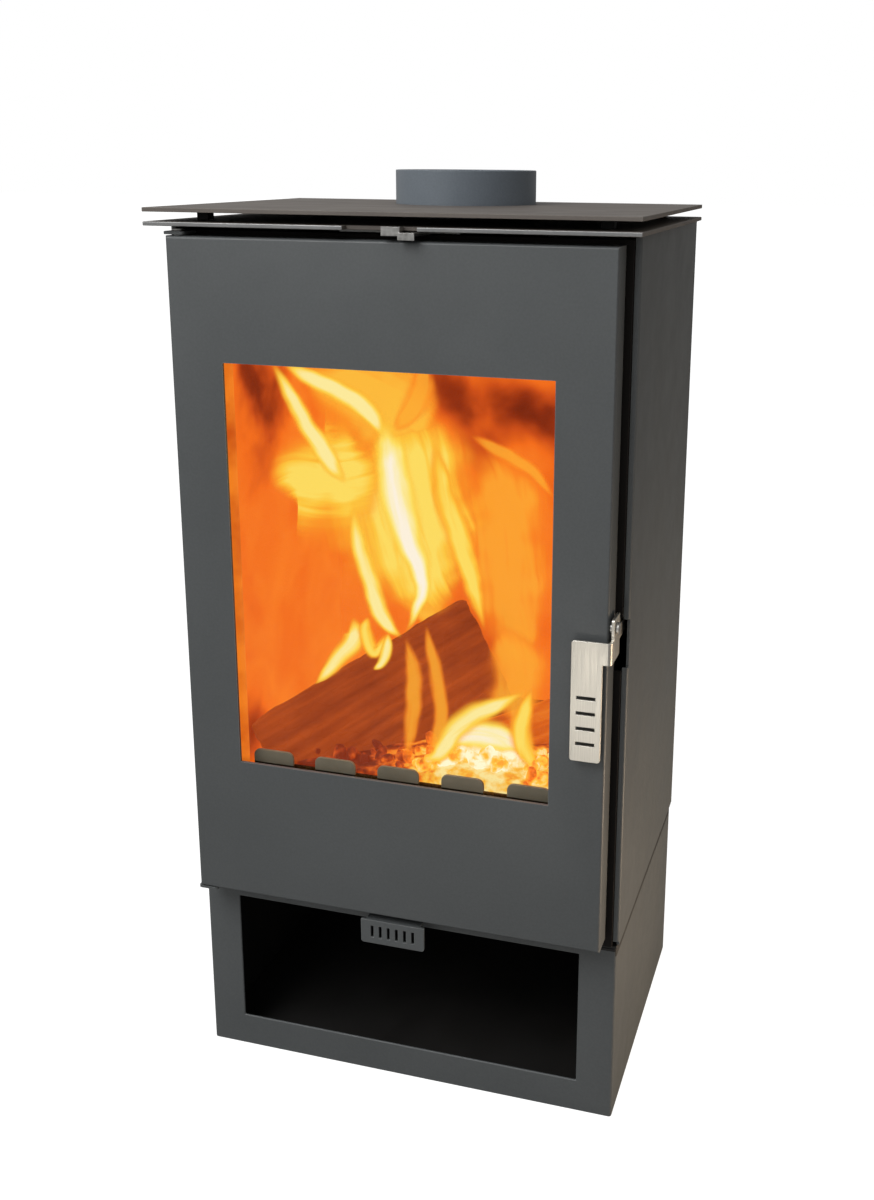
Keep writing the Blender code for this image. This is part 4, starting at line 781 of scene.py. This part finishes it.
def flame_look(name, stops, density, streaks):
    """Flame gas: heat and thickness fall off to the sides and ends and vary in streaks along it."""
    look, where = new_look(name)
    shape = add(look, "UVMap", uv_map="shape")
    flow = add(look, "UVMap", uv_map="flow")
    parts = add(look, "SeparateXYZ", {0: shape.outputs[0]})
    slow = add(look, "Mapping", {"Vector": flow.outputs[0], "Scale": (4.0, 16.0, 1.0)})
    waver = add(look, "TexNoise", {"Vector": slow.outputs[0], "Scale": 1.0, "Detail": 2.0})
    swing = add(look, "MapRange", {0: waver.outputs[0], 1: 0.25, 2: 0.75, 3: 0.38, 4: 0.62})
    offset = add(look, "Math", {0: parts.outputs["X"], 1: swing.outputs[0]}, operation="SUBTRACT")
    square = add(look, "Math", {0: offset.outputs[0], 1: offset.outputs[0]}, operation="MULTIPLY")
    bowl = add(look, "Math", {0: square.outputs[0], 1: -4.0, 2: 1.0}, operation="MULTIPLY_ADD")
    start = add(
        look,
        "MapRange",
        {0: parts.outputs["Y"], 1: 0.0, 2: 0.26, 3: 0.0, 4: 1.0},
        interpolation_type="SMOOTHSTEP",
    )
    end = add(
        look,
        "MapRange",
        {0: parts.outputs["Y"], 1: 1.0, 2: 0.74, 3: 0.0, 4: 1.0},
        interpolation_type="SMOOTHSTEP",
    )
    both = add(look, "Math", {0: start.outputs[0], 1: end.outputs[0]}, operation="MULTIPLY")
    kept = add(look, "Math", {0: bowl.outputs[0], 1: 0.0}, operation="MAXIMUM")
    centred = add(look, "Math", {0: parts.outputs["X"], 1: 0.5}, operation="SUBTRACT")
    spread = add(look, "Math", {0: centred.outputs[0], 1: centred.outputs[0]}, operation="MULTIPLY")
    side = add(
        look,
        "MapRange",
        {0: spread.outputs[0], 1: 0.25, 2: 0.13, 3: 0.0, 4: 1.0},
        interpolation_type="SMOOTHSTEP",
    )
    round_off = add(look, "Math", {0: kept.outputs[0], 1: 3.4}, operation="POWER")
    bell = add(look, "Math", {0: round_off.outputs[0], 1: side.outputs[0]}, operation="MULTIPLY")
    body = add(look, "Math", {0: bell.outputs[0], 1: both.outputs[0]}, operation="MULTIPLY")
    pulled = add(look, "Mapping", {"Vector": flow.outputs[0], "Scale": (75.0, 10.0, 1.0)})
    lick = add(
        look, "TexNoise", {"Vector": pulled.outputs[0], "Scale": 1.0, "Detail": 3.0, "Distortion": 0.7}
    )
    ragged = add(
        look, "MapRange", {0: lick.outputs[0], 1: 0.25, 2: 0.75, 3: 1.0 - streaks, 4: 1.0 + streaks}
    )
    heat = add(look, "Math", {0: body.outputs[0], 1: ragged.outputs[0]}, operation="MULTIPLY")
    alpha = add(
        look,
        "MapRange",
        {0: heat.outputs[0], 1: 0.0, 2: 0.70, 3: 0.0, 4: density},
        interpolation_type="SMOOTHSTEP",
    )
    colour = add(look, "ValToRGB", {0: heat.outputs[0]}, stops)
    glow = add(look, "Emission", {"Color": colour.outputs[0], "Strength": 1.0})
    clear = add(look, "BsdfTransparent")
    return show(look, add(look, "MixShader", {0: alpha.outputs[0], 1: clear.outputs[0], 2: glow.outputs[0]}))


FLAME_LOOKS = {
    "white": flame_look(
        "white_hot_flame",
        [(0.05, "ffbe3c"), (0.25, "ffd34a"), (0.48, "ffec74"), (0.72, "fff9c0"), (0.95, "ffffff")],
        1.0,
        0.30,
    ),
    "pale": flame_look(
        "pale_yellow_flame",
        [(0.05, "ffb434"), (0.30, "ffc640"), (0.60, "ffe364"), (0.90, "fff7b4")],
        0.94,
        0.34,
    ),
    "yellow": flame_look(
        "yellow_flame",
        [(0.05, "ff9e2a"), (0.35, "ffb234"), (0.65, "ffd24a"), (0.90, "ffe870")],
        0.92,
        0.38,
    ),
    "amber": flame_look(
        "amber_flame", [(0.05, "fc8424"), (0.40, "ff962a"), (0.80, "ffb23a")], 0.58, 0.45
    ),
    "glow": flame_look(
        "glowing_flame_gas", [(0.05, "ff9428"), (0.45, "ffa932"), (0.85, "ffc848")], 0.75, 0.28
    ),
}


def between(points, share):
    """The place and width at a share of the way along a smooth line through the points."""
    last = len(points) - 1
    step = min(int(share * last), last - 1)
    t = share * last - step
    a, b, c, d = (points[min(max(step + k, 0), last)] for k in (-1, 0, 1, 2))
    return [
        0.5
        * (
            2 * q
            + (r - p) * t
            + (2 * p - 5 * q + 4 * r - s) * t * t
            + (3 * q - p - 3 * r + s) * t * t * t
        )
        for p, q, r, s in zip(a, b, c, d)
    ]


def flame(name, kind, points):
    """Draw a sheet of flame along a line of places and widths in millimetres."""
    bpy.ops.object.select_all(action="DESELECT")
    bpy.ops.mesh.primitive_grid_add(x_subdivisions=ACROSS_STEPS, y_subdivisions=ALONG_STEPS, size=1.0)
    piece = bpy.context.object
    piece.name = name
    length = sum((at(*p[:3]) - at(*q[:3])).length for p, q in zip(points, points[1:]))
    shape = piece.data.uv_layers[0]
    shape.name = "shape"
    flow = piece.data.uv_layers.new(name="flow")
    start = at(*points[0][:3])
    widths = {}
    for point in piece.data.vertices:
        across, share = point.co.x * 2, point.co.y + 0.5
        x, y, z, width = between(points, share)
        ahead = between(points, min(1.0, share + 0.02))
        behind = between(points, max(0.0, share - 0.02))
        place = at(x, y, z)
        heading = (at(*ahead[:3]) - at(*behind[:3])).normalized()
        side = heading.cross(TO_WINDOW).normalized()
        taper = (4 * share * (1 - share)) ** TAPER + 0.02
        half = (max(width, 1.0) * SPREAD + SOFT_SIDES) * taper * MM / 2
        bow = TO_WINDOW * (half * BOW * (1 - across * across))
        widths[point.index] = (across * half, share * length)
        point.co = place + side * (half * across) + bow
        point.co.x = min(-WALL - FLAME_ROOM, max(WALL + FLAME_ROOM, point.co.x))
    for loop in piece.data.loops:
        wide, far = widths[loop.vertex_index]
        flow.data[loop.index].uv = (wide + start.x * 3, far + start.z * 5)
    thick = piece.modifiers.new("thickness", "SOLIDIFY")
    thick.thickness = SHEET_THICKNESS
    bpy.ops.object.modifier_apply(modifier=thick.name)
    bpy.ops.object.shade_smooth()
    piece.data.materials.append(FLAME_LOOKS[kind])
    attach(piece, "stove_body")
    return piece


FLAMES = (
    (
        "heart_glow",
        "glow",
        (
            (-105, 309, 744, 31),
            (-97, 297, 687, 61),
            (-83, 284, 619, 80),
            (-70, 271, 548, 77),
            (-54, 263, 491, 56),
            (-44, 257, 449, 31),
            (-35, 253, 424, 11),
        ),
    ),
    (
        "right_veil",
        "amber",
        (
            (23, 235, 672, 34),
            (43, 229, 629, 83),
            (56, 218, 575, 92),
            (66, 204, 515, 73),
            (74, 192, 461, 53),
            (75, 177, 408, 29),
        ),
    ),
    (
        "right_low_veil",
        "amber",
        (
            (63, 180, 486, 18),
            (79, 174, 446, 53),
            (85, 166, 410, 49),
            (85, 156, 373, 22),
        ),
    ),
    (
        "core_veil",
        "yellow",
        (
            (-86, 194, 708, 64),
            (-63, 189, 665, 138),
            (-49, 179, 612, 153),
            (-32, 171, 566, 138),
            (-12, 165, 523, 90),
            (10, 163, 493, 33),
        ),
    ),
    (
        "top_veil",
        "glow",
        (
            (-165, 183, 764, 28),
            (-124, 189, 741, 67),
            (-83, 196, 722, 83),
            (-45, 201, 699, 62),
            (-23, 201, 676, 21),
        ),
    ),
    (
        "left_lobe",
        "yellow",
        (
            (-173, 102, 638, 29),
            (-147, 113, 651, 81),
            (-115, 122, 648, 103),
            (-84, 132, 652, 96),
            (-53, 144, 661, 39),
        ),
    ),
    (
        "right_edge",
        "amber",
        (
            (28, 173, 695, 6),
            (62, 178, 676, 10),
            (95, 182, 657, 10),
            (123, 182, 625, 4),
        ),
    ),
    (
        "right_strand",
        "yellow",
        (
            (-7, 160, 695, 8),
            (2, 152, 657, 15),
            (17, 144, 612, 19),
            (37, 137, 568, 19),
            (51, 131, 529, 15),
            (64, 123, 488, 4),
        ),
    ),
    (
        "top_strand_right",
        "amber",
        (
            (-20, 174, 772, 13),
            (-23, 165, 743, 21),
            (-32, 156, 718, 20),
            (-46, 145, 695, 10),
        ),
    ),
    (
        "core_left",
        "pale",
        (
            (-81, 115, 632, 9),
            (-74, 106, 594, 12),
            (-62, 99, 556, 12),
            (-46, 94, 521, 14),
            (-32, 92, 499, 10),
            (-18, 93, 488, 4),
        ),
    ),
    (
        "top_strand_middle",
        "pale",
        (
            (-166, 125, 772, 8),
            (-137, 129, 755, 12),
            (-97, 135, 736, 14),
            (-67, 138, 715, 16),
            (-46, 137, 687, 10),
        ),
    ),
    (
        "top_strand_left",
        "pale",
        (
            (-173, 120, 772, 8),
            (-149, 116, 734, 11),
            (-128, 113, 700, 12),
            (-103, 111, 668, 16),
            (-85, 110, 643, 6),
        ),
    ),
    (
        "core_white",
        "white",
        (
            (-53, 138, 725, 13),
            (-47, 131, 691, 31),
            (-41, 123, 657, 29),
            (-29, 116, 616, 28),
            (-10, 110, 575, 20),
            (-0, 104, 543, 12),
            (-5, 95, 515, 9),
            (-15, 86, 493, 3),
        ),
    ),
    (
        "log_flame",
        "pale",
        (
            (-129, 104, 414, 2),
            (-114, 113, 430, 10),
            (-97, 123, 450, 15),
            (-86, 132, 470, 18),
            (-93, 136, 492, 6),
        ),
    ),
    (
        "log_lick",
        "yellow",
        (
            (-73, 134, 494, 3),
            (-75, 129, 478, 10),
            (-64, 126, 455, 8),
            (-53, 136, 478, 5),
        ),
    ),
    (
        "fall_left",
        "amber",
        (
            (-26, 118, 483, 4),
            (-15, 112, 451, 12),
            (-11, 104, 415, 12),
            (-12, 94, 380, 10),
            (-13, 84, 347, 6),
        ),
    ),
    (
        "fall_right",
        "amber",
        (
            (-0, 112, 502, 3),
            (10, 105, 467, 10),
            (21, 97, 426, 10),
            (22, 88, 390, 10),
            (16, 78, 360, 7),
        ),
    ),
    (
        "curl_upper",
        "pale",
        (
            (-36, 96, 493, 3),
            (-36, 91, 474, 7),
            (-40, 85, 460, 5),
            (-49, 81, 453, 1),
        ),
    ),
    (
        "ember_core",
        "white",
        (
            (28, 79, 377, 5),
            (49, 88, 385, 21),
            (74, 96, 387, 25),
            (100, 101, 381, 18),
            (121, 102, 362, 5),
        ),
    ),
    (
        "ember_flame_right",
        "yellow",
        (
            (116, 119, 441, 2),
            (111, 112, 417, 13),
            (110, 104, 392, 18),
            (118, 99, 366, 13),
            (135, 99, 347, 5),
        ),
    ),
    (
        "ember_flame_left",
        "pale",
        (
            (6, 63, 363, 6),
            (27, 71, 370, 13),
            (38, 79, 389, 18),
            (62, 92, 410, 18),
            (86, 102, 423, 13),
            (116, 115, 437, 2),
        ),
    ),
)
for name, kind, points in FLAMES:
    flame(f"flame_{name}", kind, points)


# Studio. A pale floor with no edge in sight, an even white surround, a big soft light above the front
# left, and a low warm one at the right, where the store's side catches it.
bpy.ops.object.select_all(action="DESELECT")
bpy.ops.mesh.primitive_grid_add(x_subdivisions=4, y_subdivisions=4, size=60.0, location=(0, 0, -0.0005))
floor = bpy.context.object
floor.name = "studio_floor"
bpy.ops.object.transform_apply(location=True, rotation=True, scale=True)
pale, where = new_look("pale_matt_floor")
faint = add(pale, "TexNoise", {"Vector": where.outputs["Object"], "Scale": 3.0, "Detail": 2.0})
tinge = add(pale, "ValToRGB", {0: faint.outputs[0]}, [(0.3, "8a8a89"), (0.7, "8e8e8d")])
straight = add(pale, "LightPath")
seen = add(pale, "MapRange", {0: straight.outputs["Is Camera Ray"], 3: 0.0, 4: 0.95})
show(
    pale,
    add(
        pale,
        "BsdfPrincipled",
        {
            "Base Color": tinge.outputs[0],
            "Roughness": 0.9,
            "Emission Color": hex_colour("ffffff"),
            "Emission Strength": seen.outputs[0],
        },
    ),
)
floor.data.materials.append(pale)

world = bpy.data.worlds.new("white_studio")
bpy.context.scene.world = world
world.use_nodes = True
world.node_tree.nodes.clear()
heading = add(world, "TexCoord")
BRIGHT_SIDE = (-0.55, -0.45, 0.70)
lean = add(world, "VectorMath", {0: heading.outputs["Generated"], 1: BRIGHT_SIDE}, operation="DOT_PRODUCT")
level = add(world, "MapRange", {0: lean.outputs["Value"], 1: -0.8, 2: 1.0, 3: 0.16, 4: 0.62})
dimmed = add(world, "Background", {"Color": hex_colour("ffffff"), "Strength": level.outputs[0]})
white = add(world, "Background", {"Color": hex_colour("ffffff"), "Strength": 1.0})
direct = add(world, "LightPath")
either = add(
    world, "MixShader", {0: direct.outputs["Is Camera Ray"], 1: dimmed.outputs[0], 2: white.outputs[0]}
)
add(world, "OutputWorld", {"Surface": either.outputs[0]})


def soft_light(name, place, aim, size, power, colour):
    """A square soft light at a place, turned to its aim."""
    lamp = bpy.data.lights.new(name, "AREA")
    lamp.size = size
    lamp.energy = power
    lamp.color = hex_colour(colour)[:3]
    holder = bpy.data.objects.new(name, lamp)
    bpy.context.scene.collection.objects.link(holder)
    holder.location = place
    holder.rotation_euler = (Vector(aim) - Vector(place)).to_track_quat("-Z", "Y").to_euler()
    holder.visible_camera = False


soft_light("key_light", (-0.9, -1.7, 2.5), (0.0, -0.1, 0.7), 1.6, 45.0, "ffffff")
soft_light("low_warm_light", (0.80, 0.06, 0.06), (0.2, 0.02, 0.04), 0.4, 4.8, "ffe3c2")
soft_light("grip_light", (0.065, -1.19, 0.05), (0.2, -0.18, 0.48), 0.26, 0.9, "fffaf2")

camera = bpy.data.objects.new("camera", bpy.data.cameras.new("camera"))
bpy.context.scene.collection.objects.link(camera)
bpy.context.scene.camera = camera
camera.data.lens = 39.913
camera.data.shift_x = -0.0523
camera.data.shift_y = -0.07456
turns = [Matrix.Rotation(math.radians(a), 4, axis) for a, axis in ((16.28, "Z"), (75.22, "X"), (0.44, "Z"))]
camera.matrix_world = Matrix.Translation((0.44851, -1.32305, 0.97608)) @ turns[0] @ turns[1] @ turns[2]
bpy.context.scene.view_settings.view_transform = "Standard"
bpy.context.scene.cycles.transparent_max_bounces = 64
